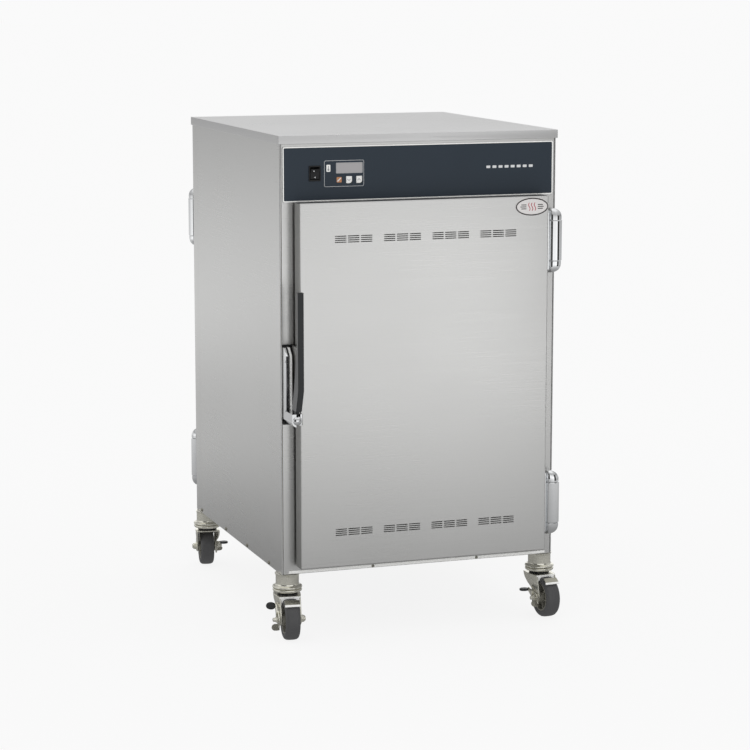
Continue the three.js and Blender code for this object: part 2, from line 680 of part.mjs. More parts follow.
// The latch body runs down the door's edge to a round boss, slotted for the lever's tongue.
function latchBody(name) {
  const { x, y, z } = LATCH_PIVOT;
  const left = x - LATCH_BOSS_HALF_WIDTH;
  const right = x + LATCH_BOSS_HALF_WIDTH;
  const edge = DOOR_LEFT - GAP;
  const strip = block([LATCH_STRIP.x, edge], [DOOR_FRONT + 1, DOOR_BACK - 2], LATCH_STRIP.z);
  const arm = block([left, edge], [y, DOOR_FRONT + 12], [z - 12, z + 12]);
  const ear = block([right - 3, edge], [y, DOOR_FRONT + 3], [z - 12, z + 12]);
  const boss = bar('x', [y, z], LATCH_BOSS_RADIUS, left, right, 24);
  const slot = block(
    [x - TONGUE_HALF_WIDTH - GAP, x + TONGUE_HALF_WIDTH + GAP],
    [y - LATCH_BOSS_RADIUS - 1, y + 12],
    [z - LATCH_BOSS_RADIUS - 1, z + LATCH_BOSS_RADIUS + 1],
  );
  const pin = bar('x', [y, z], LATCH_PIN_RADIUS, left + 1, right - 1, 12);
  return piece(name, join([join([strip, arm, ear, boss]).subtract(slot), pin]), chrome);
}

// The lever is a grip that stands off the door, a deep lower arm that leans towards the boss, and a
// round tongue on the pin.
function latchHandle(name) {
  const { x, y, z } = LATCH_PIVOT;
  const { bend, webTop } = LEVER;
  const armBack = GRIP.back + LEVER.webDepth;
  const armEnd = z + LEVER.endAbovePivot;
  const grip = block([GRIP.left, GRIP.right], [GRIP.front, GRIP.back], [bend, GRIP.top]);
  const side = [
    [GRIP.front, bend],
    [armBack, bend],
    [GRIP.back - 1, webTop],
    [GRIP.front, webTop],
  ];
  const web = prism('x', side, GRIP.left, GRIP.right);
  const lean = [
    [GRIP.left, bend],
    [x - LEVER.endLeft, armEnd],
    [x + LEVER.endRight, armEnd],
    [GRIP.right, bend],
  ];
  const arm = prism('y', lean, GRIP.front, armBack);
  const tongueSpan = [x - TONGUE_HALF_WIDTH, x + TONGUE_HALF_WIDTH];
  const neck = block(tongueSpan, [y - 9, y + 9], [z, armEnd + 1]);
  const disc = bar('x', [y, z], 10.5, ...tongueSpan, 20);
  const bore = bar('x', [y, z], LATCH_PIN_RADIUS + RUNNING_GAP, x - 10, x + 10, 12);
  return piece(name, join([grip, web, arm, neck, disc]).subtract(bore), blackPlastic);
}

function doorSet(place) {
  const set = new THREE.Group();
  set.add(
    doorPanel(`${place}_door_panel`),
    doorInner(`${place}_door_inner`),
    doorGasket(`${place}_door_gasket`),
    latchBody(`${place}_latch_body`),
    latchHandle(`${place}_latch_handle`),
    latchStrike(`${place}_latch_strike`),
  );
  for (const [level, span] of Object.entries(HINGE_SPANS)) {
    set.add(hingeFrameHalf(`${place}_hinge_${level}_frame_half`, span));
    set.add(hingeDoorHalf(`${place}_hinge_${level}_door_half`, span));
  }
  for (const [level, height] of Object.entries(VENT_ROW_HEIGHTS)) {
    set.add(ventSlide(`${place}_vent_slide_${level}`, height));
  }
  return set;
}

// ---------------------------------------------------------------- casters
// A caster is drawn on its swivel axis with the wheel towards -Y, then turned to its heading.

const AXLE_Y = -CASTER_TRAIL;
const AXLE_Z = WHEEL_RADIUS;

function casterFork(name) {
  const race = bar('z', [0, 0], RACE_RADIUS - 1, RACE_BOTTOM, RACE_SPLIT - GAP, 20);
  const kingpin = bar('z', [0, 0], KINGPIN_RADIUS, RACE_BOTTOM, KINGPIN_TOP, 12);
  const outer = FORK_HALF_GAP + FORK_PLATE;
  const crown = block([-outer, outer], CROWN.y, [CROWN.bottom, RACE_BOTTOM + 1]);
  const cheekSide = [
    [CROWN.y[1], CHEEK.top],
    [CROWN.y[0], CHEEK.top],
    [CHEEK.frontY, CHEEK.frontZ],
    ...arc([AXLE_Y, AXLE_Z], CHEEK.round, 180, 330, 4),
    CHEEK.bend,
    [CROWN.y[1], CHEEK.backZ],
  ];
  const cheeks = [prism('x', cheekSide, -outer, -FORK_HALF_GAP), prism('x', cheekSide, FORK_HALF_GAP, outer)];
  const [innerRadius, outerRadius] = GUARD.radii.map((more) => WHEEL_RADIUS + more);
  const guardSide = [
    ...arc([AXLE_Y, AXLE_Z], outerRadius, ...GUARD.angles, 5),
    ...arc([AXLE_Y, AXLE_Z], innerRadius, ...GUARD.angles.toReversed(), 5),
  ];
  const guard = prism('x', guardSide, -GUARD.halfWidth, GUARD.halfWidth);
  const axle = bar('x', [AXLE_Y, AXLE_Z], AXLE_RADIUS, ...AXLE_ENDS, 12);
  const nut = bar('x', [AXLE_Y, AXLE_Z], NUT.radius, ...NUT.span, 6);
  const head = bar('x', [AXLE_Y, AXLE_Z], NUT.radius, outer - 1, outer + 6, 6);
  return piece(name, join([race, kingpin, crown, ...cheeks, guard, axle, nut, head]), zinc);
}

function casterWheel(name) {
  const rim = WHEEL_RADIUS / Math.cos(Math.PI / WHEEL_SIDES);
  const hubHalf = FORK_HALF_GAP - 0.4;
  const bore = AXLE_RADIUS + RUNNING_GAP;
  const half = [
    [bore, hubHalf],
    [12, hubHalf],
    [12, 11],
    [31, 11],
    [34, WHEEL_HALF_WIDTH],
    [rim - 5, WHEEL_HALF_WIDTH - 1],
    [rim, WHEEL_HALF_WIDTH - 8],
  ];
  const farSide = half.map(([radius, side]) => [radius, -side]);
  const profile = [...farSide, ...half.toReversed(), farSide[0]];
  const outline = profile.map(([radius, side]) => new THREE.Vector2(radius, side));
  const lathe = new THREE.LatheGeometry(outline, WHEEL_SIDES, Math.PI / WHEEL_SIDES);
  lathe.rotateZ(-Math.PI / 2);
  lathe.translate(0, AXLE_Y, AXLE_Z);
  return piece(name, solid(lathe), tyreGrey);
}

// The brake lever hangs on the axle outside the left cheek, with a pedal up behind the axle and a
// toe below it. lift is its angle from the pedal's lower place.
function casterBrake(name, lift) {
  const outer = FORK_HALF_GAP + FORK_PLATE;
  const plateSpan = [-outer - BRAKE_PLATE.gap - BRAKE_PLATE.thick, -outer - BRAKE_PLATE.gap];
  const hub = bar('x', [0, 0], BRAKE_PLATE.hub, ...plateSpan, 20);
  const arm = prism('x', [[2, -9], [36, 8], [36, 16], [-3, 10]], ...plateSpan);
  const toe = prism('x', [[-9, 0], [-13, -22], [-2, -27], [6, -20], [8, 0]], ...plateSpan);
  const pedalOutline = [
    [-outer - 1, 28],
    [-outer - 18, 29],
    [-outer - 24, 36],
    [-outer - 18, 43],
    [-outer - 1, 44],
  ];
  const pedal = prism('z', pedalOutline, 9, 13);
  const bore = bar('x', [0, 0], AXLE_RADIUS + RUNNING_GAP, -outer - 5, -outer + 5, 16);
  const lever = piece(name, join([hub, arm, toe, pedal]).subtract(bore), zinc);
  lever.position.set(0, AXLE_Y, AXLE_Z);
  lever.rotation.x = THREE.MathUtils.degToRad(lift);
  return lever;
}

function caster(place, [x, y], heading, lift) {
  const set = new THREE.Group();
  set.add(
    casterFork(`caster_${place}_fork`),
    casterWheel(`caster_${place}_wheel`),
    casterBrake(`caster_${place}_brake`, lift),
  );
  set.position.set(x, y, 0);
  set.rotation.z = THREE.MathUtils.degToRad(heading);
  return set;
}

// ---------------------------------------------------------------- assembly

const cabinet = new THREE.Group();
const rearSet = doorSet('rear');
rearSet.rotation.z = Math.PI;
cabinet.add(
  topCover(),
  sidePanel('side_panel_left', -1),
  sidePanel('side_panel_right', 1),
  frontFrame(),
  rearFrame(),
  basePan(),
  liner(),
  insulation(),
  heatingCable(),
  sideRack('side_rack_left', -1),
  sideRack('side_rack_right', 1),
  wireShelf('shelf_lower', SHELF_LEVELS.lower),
  wireShelf('shelf_upper', SHELF_LEVELS.upper),
  airSensor(),
  controlPanel(),
  displayWindow(),
  pushKey('key_down', KEYS.down),
  pushKey('key_up', KEYS.up),
  switchHousing(),
  powerRocker(),
  controlBoard(),
  cordGland(),
  doorSet('front'),
  rearSet,
  caster('front_left', [-LEG_X, -LEG_Y], HEADINGS.frontLeft, BRAKE_LIFT),
  caster('front_right', [LEG_X, -LEG_Y], HEADINGS.frontRight, 0),
  caster('rear_left', [-LEG_X, LEG_Y], HEADINGS.rearLeft, 0),
  caster('rear_right', [LEG_X, LEG_Y], HEADINGS.rearRight, BRAKE_LIFT),
);

export default cabinet;
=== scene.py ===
"""The looks of a pass-through food holding cabinet on four swivel casters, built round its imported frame.

Lengths in this file are millimetres unless a name says otherwise; meshes are made in metres.
"""

import math

import bmesh
import bpy
from mathutils import Matrix, Vector


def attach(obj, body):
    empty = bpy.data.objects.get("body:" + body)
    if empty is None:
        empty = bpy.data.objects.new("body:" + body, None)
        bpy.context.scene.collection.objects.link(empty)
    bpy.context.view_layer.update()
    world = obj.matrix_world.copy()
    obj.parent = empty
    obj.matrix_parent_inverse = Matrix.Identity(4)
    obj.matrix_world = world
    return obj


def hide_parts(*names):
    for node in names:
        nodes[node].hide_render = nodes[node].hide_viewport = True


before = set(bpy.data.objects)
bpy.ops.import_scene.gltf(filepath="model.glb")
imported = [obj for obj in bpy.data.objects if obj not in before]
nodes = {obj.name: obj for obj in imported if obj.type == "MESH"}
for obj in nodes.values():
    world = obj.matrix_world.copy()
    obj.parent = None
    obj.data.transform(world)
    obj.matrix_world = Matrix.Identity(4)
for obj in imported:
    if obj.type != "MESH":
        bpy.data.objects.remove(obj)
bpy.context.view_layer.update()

MM = 0.001

# ------------------------------------------------------------------ dimensions shared with the CAD

HALF_WIDTH = 312.0
FRONT = -347.5
SHEET = 1.5
BODY_BOTTOM = 139.5

DOOR_LEFT = -281.5
DOOR_RIGHT = 279.0
DOOR_BOTTOM = 158.0
DOOR_TOP = 937.3
DOOR_BACK = FRONT - 8
DOOR_FRONT = DOOR_BACK - 34
DOOR_SHEET = 1.2
VENT_HEIGHTS = (233.5, 860.0)

HINGE_X = 300.0
HINGE_Y = FRONT - 24
HINGE_CAP = 26.0
HINGE_SPANS = {"lower": (190.0, 333.2), "upper": (769.0, 909.0)}

PIVOT_X = -296.0
PIVOT_Y = FRONT - 60
PIVOT_Z = 486.0
GRIP_LEFT = -298.0
GRIP_RIGHT = -284.8
GRIP_BACK = FRONT - 69.5
GRIP_FRONT = FRONT - 80
GRIP_TOP = 756.0

PANEL_FACE = FRONT - 2.3
SWITCH_X = -235.6
SWITCH_Z = 995.6
DISPLAY_X = (-188.4, -129.7)
DISPLAY_Z = (993.3, 1017.7)
KEY_X = {"down": (-167.0, -152.6), "up": (-144.6, -130.2)}
KEY_Z = (972.3, 988.8)

OVERLAY_X = (-303.0, 301.5)
OVERLAY_Z = (939.3, 1049.5)
KEYPAD_X = (-214.2, -127.2)
KEYPAD_Z = (967.0, 1021.2)
BADGE_CENTRE = (240.0, 914.8)
BADGE_REACH = (38.5, 19.8)
GLAND = (-230.0, 1000.0)

VENT_GROUP_PITCH = 108.6
VENT_COLUMN_PITCH = 28.7
VENT_ROW_PITCH = 4.25
CHANNEL_BOTTOM = 474.0
CHANNEL_TOP = 632.0
CHANNEL_FRONT = FRONT - 27
CHANNEL_LEFT = -308.0

LINER_WALL = 261.7
POST_X = 257.0
POST_Y = 240.0
RUNNER_X = 228.5
RUNNER_END = 320.0
POST_ENDS = (190.0, 820.0)
FOOT_HEIGHTS = (242.0, 802.0)
RACK_LEVELS = [215 + 115 * i for i in range(6)]
SHELF_LEVELS = {"shelf_lower": 1, "shelf_upper": 4}
SHELF_HALF = (243.5, 317.5)
SHELF_WIRES = 11

LEG_X = 293.0
LEG_Y = 325.5
WHEEL_RADIUS = 44.5
AXLE_Y = -33.0
FORK_OUTER = 23.0
CASTERS = {  # where the leg stands, the fork's heading and the brake lever's lift, in degrees
    "front_left": (-LEG_X, -LEG_Y, -7, 35),
    "front_right": (LEG_X, -LEG_Y, 4, 0),
    "rear_left": (-LEG_X, LEG_Y, 171, 0),
    "rear_right": (LEG_X, LEG_Y, 170, 35),
}

# ------------------------------------------------------------------ materials


def feed(tree, socket, value):
    """Sets a node's input to a plain value, or links another node's output to it."""
    if isinstance(value, bpy.types.NodeSocket):
        tree.links.new(value, socket)
    else:
        socket.default_value = value


def node(tree, kind, **inputs):
    made = tree.nodes.new(kind)
    for key, value in inputs.items():
        feed(tree, made.inputs[key.replace("_", " ")], value)
    return made


def maths(tree, operation, *values):
    made = tree.nodes.new("ShaderNodeMath")
    made.operation = operation
    for socket, value in zip(made.inputs, values):
        feed(tree, socket, value)
    return made.outputs[0]


def noise(tree, place, scale, detail, roughness):
    made = node(tree, "ShaderNodeTexNoise", Vector=place, Scale=scale, Detail=detail, Roughness=roughness)
    return made.outputs["Fac"]


def finish(
    name, colour, metallic, roughness, spread, rough_spread, grain, mottle, bump, depth, around=None, **direct
):
    """A surface whose colour, roughness and relief vary with a fine grain and a broad mottle.

    spread is the share by which the colour varies, rough_spread how much the roughness does. grain is the
    fine noise's frequency per metre, for each axis or for all three, and mottle the broad one's. bump and
    depth are the relief's strength and height. around is the axis that brush marks circle.
    """
    grain = grain if isinstance(grain, tuple) else (grain, grain, grain)
    material = bpy.data.materials.new(name)
    material.use_nodes = True
    tree = material.node_tree
    place = tree.nodes.new("ShaderNodeTexCoord").outputs["Object"]
    stretched = node(tree, "ShaderNodeMapping", Vector=place, Scale=grain).outputs["Vector"]
    fine = noise(tree, stretched, 1.0, 3.0, 0.6)
    broad = noise(tree, place, mottle, 2.0, 0.5)
    blend = maths(tree, "MULTIPLY_ADD", fine, 0.6, maths(tree, "MULTIPLY", broad, 0.4))

    shades = node(tree, "ShaderNodeValToRGB", Fac=blend)
    low, high = shades.color_ramp.elements
    low.position, high.position = 0.3, 0.7
    low.color = [*(c * (1 - spread) for c in colour), 1]
    high.color = [*(min(1, c * (1 + spread)) for c in colour), 1]
    least, most = max(0.02, roughness - rough_spread), roughness + rough_spread
    reach = {"From_Min": 0.3, "From_Max": 0.7, "To_Min": least, "To_Max": most}
    sheen = node(tree, "ShaderNodeMapRange", Value=blend, **reach)
    relief = node(tree, "ShaderNodeBump", Strength=bump, Distance=depth * MM, Height=fine)

    surface = {
        "Base_Color": shades.outputs["Color"],
        "Roughness": sheen.outputs["Result"],
        "Normal": relief.outputs["Normal"],
        "Metallic": metallic,
        **direct,
    }
    if around:
        tangent = tree.nodes.new("ShaderNodeTangent")
        tangent.direction_type = "RADIAL"
        tangent.axis = around
        surface["Tangent"] = tangent.outputs["Tangent"]
    for key, value in surface.items():
        feed(tree, tree.nodes["Principled BSDF"].inputs[key.replace("_", " ")], value)
    return material


def ink(name, colour, spread=0.05):
    return finish(name, colour, 0, 0.45, spread, 0.05, 1500, 30, 0.05, 0.02)


LEVEL_GRAIN = (9, 9, 1500)
DEEP_GRAIN = (9, 1500, 9)
FOIL_GRAIN = (900, 900, 1800)
GLASS_GRAIN = (900, 900, 2600)
BRUSHED = {"Anisotropic": 0.55, "Anisotropic_Rotation": 0.25}
DULL = {"Specular_IOR_Level": 0.3}
FAINT = {"Specular_IOR_Level": 0.25}
GLOSSY = {"Coat_Weight": 0.6}

STEEL_GREY = (0.71, 0.71, 0.70)
STEEL = finish("brushed_steel", STEEL_GREY, 1, 0.30, 0.025, 0.05, LEVEL_GRAIN, 3, 0.06, 0.03, "Z", **BRUSHED)
TOP_LOOK = (0.025, 0.05, DEEP_GRAIN, 3, 0.06, 0.03, "Y")
STEEL_TOP = finish("brushed_steel_top", (0.72, 0.72, 0.72), 1, 0.30, *TOP_LOOK, **BRUSHED)
LINER_GREY = (0.60, 0.60, 0.59)
LINER = finish("liner_steel", LINER_GREY, 1, 0.36, 0.05, 0.06, LEVEL_GRAIN, 4, 0.12, 0.06, "Z", **BRUSHED)
# Darker steel for the door's edge and the latch mount on it: painted shade.
PAINTED_SHADE_STEEL = finish("painted_shade_edge_steel", (0.38, 0.38, 0.37), 1, 0.36, 0.03, 0.05, LEVEL_GRAIN, 3, 0.06, 0.03)
CHROME = finish("polished_chrome", (0.86, 0.87, 0.88), 1, 0.07, 0.02, 0.03, 90, 20, 0.03, 0.04)
# A near-white, barely metallic plate: painted highlight on the frame hems, panel trim, latch channel wall and
# caster flanges.
PAINTED_HIGHLIGHT_PLATE = finish("painted_highlight_plate", (0.93, 0.93, 0.91), 0.15, 0.26, 0.03, 0.05, 140, 18, 0.04, 0.05)
NICKEL = finish("bright_nickel", (0.78, 0.765, 0.68), 0.85, 0.19, 0.06, 0.05, 140, 18, 0.05, 0.06)
DULL_ZINC = finish("dull_zinc", (0.35, 0.34, 0.29), 0.9, 0.27, 0.10, 0.08, 260, 24, 0.12, 0.08)
BADGE_FOIL = finish("badge_foil", (0.74, 0.72, 0.71), 0.35, 0.34, 0.03, 0.06, FOIL_GRAIN, 25, 0.06, 0.03)

PANEL_BLUE = (0.022, 0.033, 0.047)
OVERLAY = finish("panel_overlay", PANEL_BLUE, 0, 0.42, 0.08, 0.05, 2400, 9, 0.2, 0.04, **FAINT)
# A greyer copy of the grip plastic for the lever's outer side: painted light.
LIT_GRIP_SIDE = finish("grip_side_painted_light", (0.085, 0.085, 0.087), 0, 0.45, 0.08, 0.06, 1500, 14, 0.2, 0.06)
GRIP = finish("grip_plastic", (0.020, 0.0215, 0.023), 0, 0.42, 0.10, 0.06, 1500, 14, 0.25, 0.06, **DULL)
BLACK = finish("black_plastic", (0.007, 0.007, 0.008), 0, 0.36, 0.12, 0.06, 1800, 14, 0.2, 0.05, **DULL)
WHITE = finish("white_plastic", (0.80, 0.80, 0.78), 0, 0.42, 0.03, 0.06, 1500, 20, 0.15, 0.04)
GLASS_GREY = (0.35, 0.34, 0.345)
DISPLAY = finish("display_glass", GLASS_GREY, 0, 0.18, 0.03, 0.04, GLASS_GRAIN, 12, 0.05, 0.02, **GLOSSY)
RUBBER = finish("gasket_rubber", (0.035, 0.035, 0.034), 0, 0.62, 0.12, 0.08, 700, 15, 0.3, 0.1)
TYRE = finish("tyre_rubber", (0.058, 0.058, 0.060), 0, 0.50, 0.12, 0.08, 420, 22, 0.3, 0.12)
HUB = finish("hub_plastic", (0.16, 0.155, 0.13), 0, 0.42, 0.12, 0.07, 500, 25, 0.2, 0.1)
WOOL = finish("mineral_wool", (0.62, 0.52, 0.24), 0, 0.95, 0.25, 0.04, (260, 90, 260), 9, 0.9, 1.5)
BOARD = finish("circuit_board", (0.02, 0.12, 0.05), 0, 0.40, 0.20, 0.08, 800, 40, 0.2, 0.1)
CABLE = finish("cable_sheath", (0.68, 0.64, 0.52), 0, 0.60, 0.06, 0.06, (600, 600, 60), 20, 0.2, 0.1)

INK_DARK = ink("dark_ink", (0.030, 0.026, 0.026), 0.10)
INK_LIGHT = ink("light_ink", (0.66, 0.67, 0.68))
INK_GREY = ink("grey_ink", (0.34, 0.35, 0.36))
INK_AMBER = ink("amber_ink", (0.46, 0.20, 0.08), 0.06)
INK_RED = ink("red_ink", (0.42, 0.05, 0.07), 0.08)

# ------------------------------------------------------------------ mesh tools


def arc(centre, radius, start, end, steps):
    """Points of a plane arc, in degrees. radius is one number, or one for each axis of an ellipse."""
    reach_a, reach_b = radius if isinstance(radius, tuple) else (radius, radius)
    points = []
    for i in range(steps + 1):
        angle = math.radians(start + (end - start) * i / steps)
        points.append((centre[0] + reach_a * math.cos(angle), centre[1] + reach_b * math.sin(angle)))
    return points


def circle(centre, radius, sides):
    return arc(centre, radius, 0, 360, sides)[:-1]


def rounded_rectangle(a, b, radius, steps=6):
    """The outline of a rectangle a[0]..a[1] by b[0]..b[1] with round corners, anticlockwise."""
    points = []
    corners = ((a[1], b[1], 0), (a[0], b[1], 90), (a[0], b[0], 180), (a[1], b[0], 270))
    for corner_a, corner_b, start in corners:
        centre_a = corner_a - radius if corner_a == a[1] else corner_a + radius
        centre_b = corner_b - radius if corner_b == b[1] else corner_b + radius
        points += arc((centre_a, centre_b), radius, start, start + 90, steps)
    return points


def lift(axis, a, b, along):
    """The 3-D point for plane coordinates a, b and a place along the axis, as the CAD source draws them."""
    if axis == "x":
        return Vector((along, a, b))
    if axis == "y":
        return Vector((a, along, b))
    return Vector((a, b, along))


class Shape:
    """Closed parts of one piece, in millimetres. Each face keeps the number of its material."""

    def __init__(self):
        self.points = []
        self.faces = []
        self.looks = []

    def loft(self, rings, look=0, loop=False):
        """Joins rings of equally many points. loop joins the last to the first, or both ends are closed."""
        base = len(self.points)
        count = len(rings[0])
        for ring in rings:
            self.points += [Vector(p) for p in ring]
        pairs = len(rings) if loop else len(rings) - 1
        for i in range(pairs):
            a, b = base + i * count, base + (i + 1) % len(rings) * count
            for j in range(count):
                k = (j + 1) % count
                self.face((a + j, a + k, b + k, b + j), look)
        if not loop:
            self.face(tuple(base + j for j in reversed(range(count))), look)
            self.face(tuple(base + (len(rings) - 1) * count + j for j in range(count)), look)
        return self

    def face(self, corners, look):
        self.faces.append(corners)
        self.looks.append(look)

    def prism(self, axis, outline, low, high, look=0):
        return self.loft([[lift(axis, a, b, along) for a, b in outline] for along in (low, high)], look)

    def box(self, x, y, z, look=0):
        return self.prism("z", [(x[0], y[0]), (x[1], y[0]), (x[1], y[1]), (x[0], y[1])], *z, look)

    def plate(self, x, z, y, radius, look=0, steps=5):
        """A flat plate across Y with round corners."""
        return self.prism("y", rounded_rectangle(x, z, radius, steps), *y, look)

    def lathe(self, axis, centre, profile, look=0, sides=48, loop=False):
        """profile is [(radius, place along the axis)]. loop closes it into a ring with a bore."""
        rings = []
        for radius, along in profile:
            outline = circle(centre, max(radius, 0.01), sides)
            rings.append([lift(axis, a, b, along) for a, b in outline])
        return self.loft(rings, look, loop)

    def tube(self, path, radius, look=0, sides=10, loop=False):
        path = [Vector(p) for p in path]
        count = len(path)
        rings = []
        normal = None
        for i, here in enumerate(path):
            after = path[(i + 1) % count] if loop or i + 1 < count else here
            before = path[i - 1] if loop or i > 0 else here
            along = (after - before).normalized()
            if normal is None:
                normal = along.orthogonal().normalized()
            normal = (normal - along * normal.dot(along)).normalized()
            side = along.cross(normal)
            rings.append([here + normal * a + side * b for a, b in circle((0, 0), radius, sides)])
        return self.loft(rings, look, loop)

    def merge(self, other):
        base = len(self.points)
        self.points += other.points
        self.faces += [tuple(base + i for i in face) for face in other.faces]
        self.looks += other.looks
        return self

    def moved(self, matrix):
        turned = Shape()
        turned.points = [matrix @ p for p in self.points]
        turned.faces = list(self.faces)
        turned.looks = list(self.looks)
        return turned

    def object(self, name, materials):
        mesh = bpy.data.meshes.new(name)
        mesh.from_pydata([p * MM for p in self.points], [], self.faces)
        for material in materials:
            mesh.materials.append(material)
        for polygon, look in zip(mesh.polygons, self.looks):
            polygon.material_index = look
        tidy = bmesh.new()
        tidy.from_mesh(mesh)
        bmesh.ops.recalc_face_normals(tidy, faces=tidy.faces)
        tidy.to_mesh(mesh)
        tidy.free()
        made = bpy.data.objects.new(name, mesh)
        bpy.context.scene.collection.objects.link(made)
        return made


def round_edges(made, bevel, segments, angle):
    """Rounds the edges that turn by more than an angle, and evens the shading."""
    if bevel:
        edge = made.modifiers.new("edges", "BEVEL")
        edge.width = bevel * MM
        edge.segments = segments
        edge.limit_method = "ANGLE"
        edge.angle_limit = math.radians(angle)
    even = made.modifiers.new("shading", "WEIGHTED_NORMAL")
    even.weight = 80
    return even


def carve(made, cutter):
    """Cuts the cutter shape out of a piece for good."""
    tool = cutter.object("cutter", [])
    step = made.modifiers.new("carve", "BOOLEAN")
    step.object = tool
    step.operation = "DIFFERENCE"
    step.solver = "EXACT"
    graph = bpy.context.evaluated_depsgraph_get()
    cut = bpy.data.meshes.new_from_object(made.evaluated_get(graph))
    made.modifiers.clear()
    made.data = cut
    bpy.data.objects.remove(tool)


def build(shape, name, body, materials, replaces=(), slot=None, bevel=0.0, cut=None, segments=3):
    """Makes a shape a finished piece that rides on a CAD body."""
    materials = materials if isinstance(materials, (list, tuple)) else [materials]
    made = shape.object(name, materials)
    if cut:
        carve(made, cut)
    made.data.set_sharp_from_angle(angle=math.radians(50))
    made.data.shade_smooth()
    round_edges(made, bevel, segments, 30).keep_sharp = True
    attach(made, body)
    if replaces:
        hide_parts(*([replaces] if isinstance(replaces, str) else replaces))
    return made


def dress(name, material, bevel=0.0, segments=2):
    """Gives a CAD node its finish and rounds its edges."""
    made = nodes[name]
    for slot in made.material_slots:
        slot.material = material
    weld = made.modifiers.new("weld", "WELD")
    weld.merge_threshold = 0.01 * MM
    round_edges(made, bevel, segments, 40)


HALF_TURN = Matrix.Rotation(math.pi, 4, "Z")


def both_doors(shape, name, body, *details, cut=None, **more):
    """Builds a piece of the front door set, and the same piece turned half round for the rear one."""
    for place, turn in (("front", Matrix.Identity(4)), ("rear", HALF_TURN)):
        options = dict(more)
        if "replaces" in options:
            options["replaces"] = [f"{place}_{part}" for part in options["replaces"]]
        if cut:
            options["cut"] = cut.moved(turn)
        build(shape.moved(turn), f"{place}_{name}", body.format(place=place), *details, **options)


# ------------------------------------------------------------------ casing

dress("top_cover", STEEL_TOP, 0.9, 3)
for panel in ("side_panel_left", "side_panel_right", "front_frame", "rear_frame"):
    dress(panel, STEEL, 0.4)
dress("liner", LINER, 0.4)
dress("insulation_jacket", WOOL, 2.0)
dress("heating_cable", CABLE, 0.8)
dress("control_board", BOARD, 0.3)


def base_pan():
    inset = 1.8
    x, y, low = HALF_WIDTH - inset, -FRONT - inset, BODY_BOTTOM + 0.3
    high = low + 30
    outer = rounded_rectangle((-x, x), (-y, y), 4)
    inner = rounded_rectangle((-x + SHEET, x - SHEET), (-y + SHEET, y - SHEET), 2.5)
    levels = ((outer, low), (outer, high), (inner, high), (inner, low + SHEET - 0.3))
    pan = Shape().loft([[(a, b, height) for a, b in ring] for ring, height in levels])
    build(pan, "base_pan_sheet", "cabinet", STEEL, replaces="base_pan", slot="casing_steel", bevel=0.5)


def frame_hems():
    """The folded edge along the bottom of the front and the rear frame, painted near-white as a highlight."""
    section = [(0.0, 1.1), (0.5, 1.5), (0.5, 6.9), (0.0, 7.3)]  # outward from the frame, and height
    hems = Shape()
    for sign in (-1, 1):
        hems.prism("x", [(sign * (-FRONT + 0.05 + out), BODY_BOTTOM + up) for out, up in section], -296, 296)
    build(hems, "frame_hems", "cabinet", PAINTED_HIGHLIGHT_PLATE, slot="casing_steel", bevel=0.1)


def legs():
    foot = [(7, 107.2), (30.4, 107.2), (31.7, 107.9), (32.0, 109.2), (31.8, 110.8), (30.6, 112.0)]
    neck = [(26.6, 112.8), (25.2, 114.2), (25.0, 117.5)]
    head = [(25.0, -6.5), (25.5, -4.0), (26.6, -2.4), (27.0, -0.6), (7, -0.6)]
    profile = foot + neck + [(radius, BODY_BOTTOM + height) for radius, height in head]
    for place, (x, y, _, _) in CASTERS.items():
        leg = Shape().lathe("z", (x, y), profile, sides=64)
        build(leg, f"leg_{place}", "cabinet", NICKEL, slot="zinc")


base_pan()
frame_hems()
legs()


def screw_head(axis, outward, place, radius=3.4):
    """A flanged hexagon head. place is its centre on the sheet, outward the sign of its direction."""
    x, y, z = place
    centre, base = ((y, z), x) if axis == "x" else ((x, z), y)
    flange = [(1.35, 0.05), (1.35, 0.5), (1.15, 0.9)]
    hexagon = [(1.0, 0.6), (1.0, 2.0), (0.8, 2.5)]
    head = Shape()
    for steps, sides in ((flange, 32), (hexagon, 6)):
        profile = [(radius * share, base + outward * height) for share, height in steps]
        head.lathe(axis, centre, profile, sides=sides)
    return head


def screws():
    heads = Shape()
    side_row, front_row = BODY_BOTTOM + 6, BODY_BOTTOM + 4
    for y in (-253, -82, 91, 303):
        for side in (-1, 1):
            heads.merge(screw_head("x", side, (side * HALF_WIDTH, y, side_row)))
    for x in (-106, 134):
        for side in (-1, 1):
            heads.merge(screw_head("y", side, (x, side * -FRONT, front_row), 2.6))
    for x, z in ((-296, 1040), (0, 1040), (296, 1040), (-140, 950), (140, 950), (-140, 1050), (140, 1050)):
        heads.merge(screw_head("y", 1, (x, -FRONT, z)))
    build(heads, "casing_screws", "cabinet", DULL_ZINC, slot="zinc", bevel=0.25, segments=2)


screws()

# ------------------------------------------------------------------ racks, shelves and sensor


def side_rack(name, side):
    rack = Shape()
    post, runner, wall = side * POST_X, side * RUNNER_X, side * LINER_WALL
    for sign in (-1, 1):
        y = sign * POST_Y
        rack.tube([(post, y, z) for z in POST_ENDS], 2.5)
        for z in FOOT_HEIGHTS:
            rack.tube([(post, y, z), (wall - side * 0.5, y, z)], 1.8)
            foot = [(6, wall - side * 1.7), (6, wall - side * 0.3), (5, wall)]
            rack.lathe("x", (y, z), foot, sides=24)
    for level in RACK_LEVELS:
        z = level + 2.5
        rack.tube([(runner, -RUNNER_END, z), (runner, RUNNER_END, z)], 2.5)
        for sign in (-1, 1):
            y = sign * POST_Y
            rack.tube([(post - side, y, z), (runner + 4 * side, y, z), (runner, y, z)], 1.7)
            tip = [(2.5, -0.5), (2.2, 1.0), (1.2, 2.0)]
            rack.lathe("y", (runner, z), [(r, sign * (RUNNER_END + out)) for r, out in tip], sides=10)
    build(rack, f"{name}_wires", "cabinet", CHROME, replaces=name, slot="chrome")


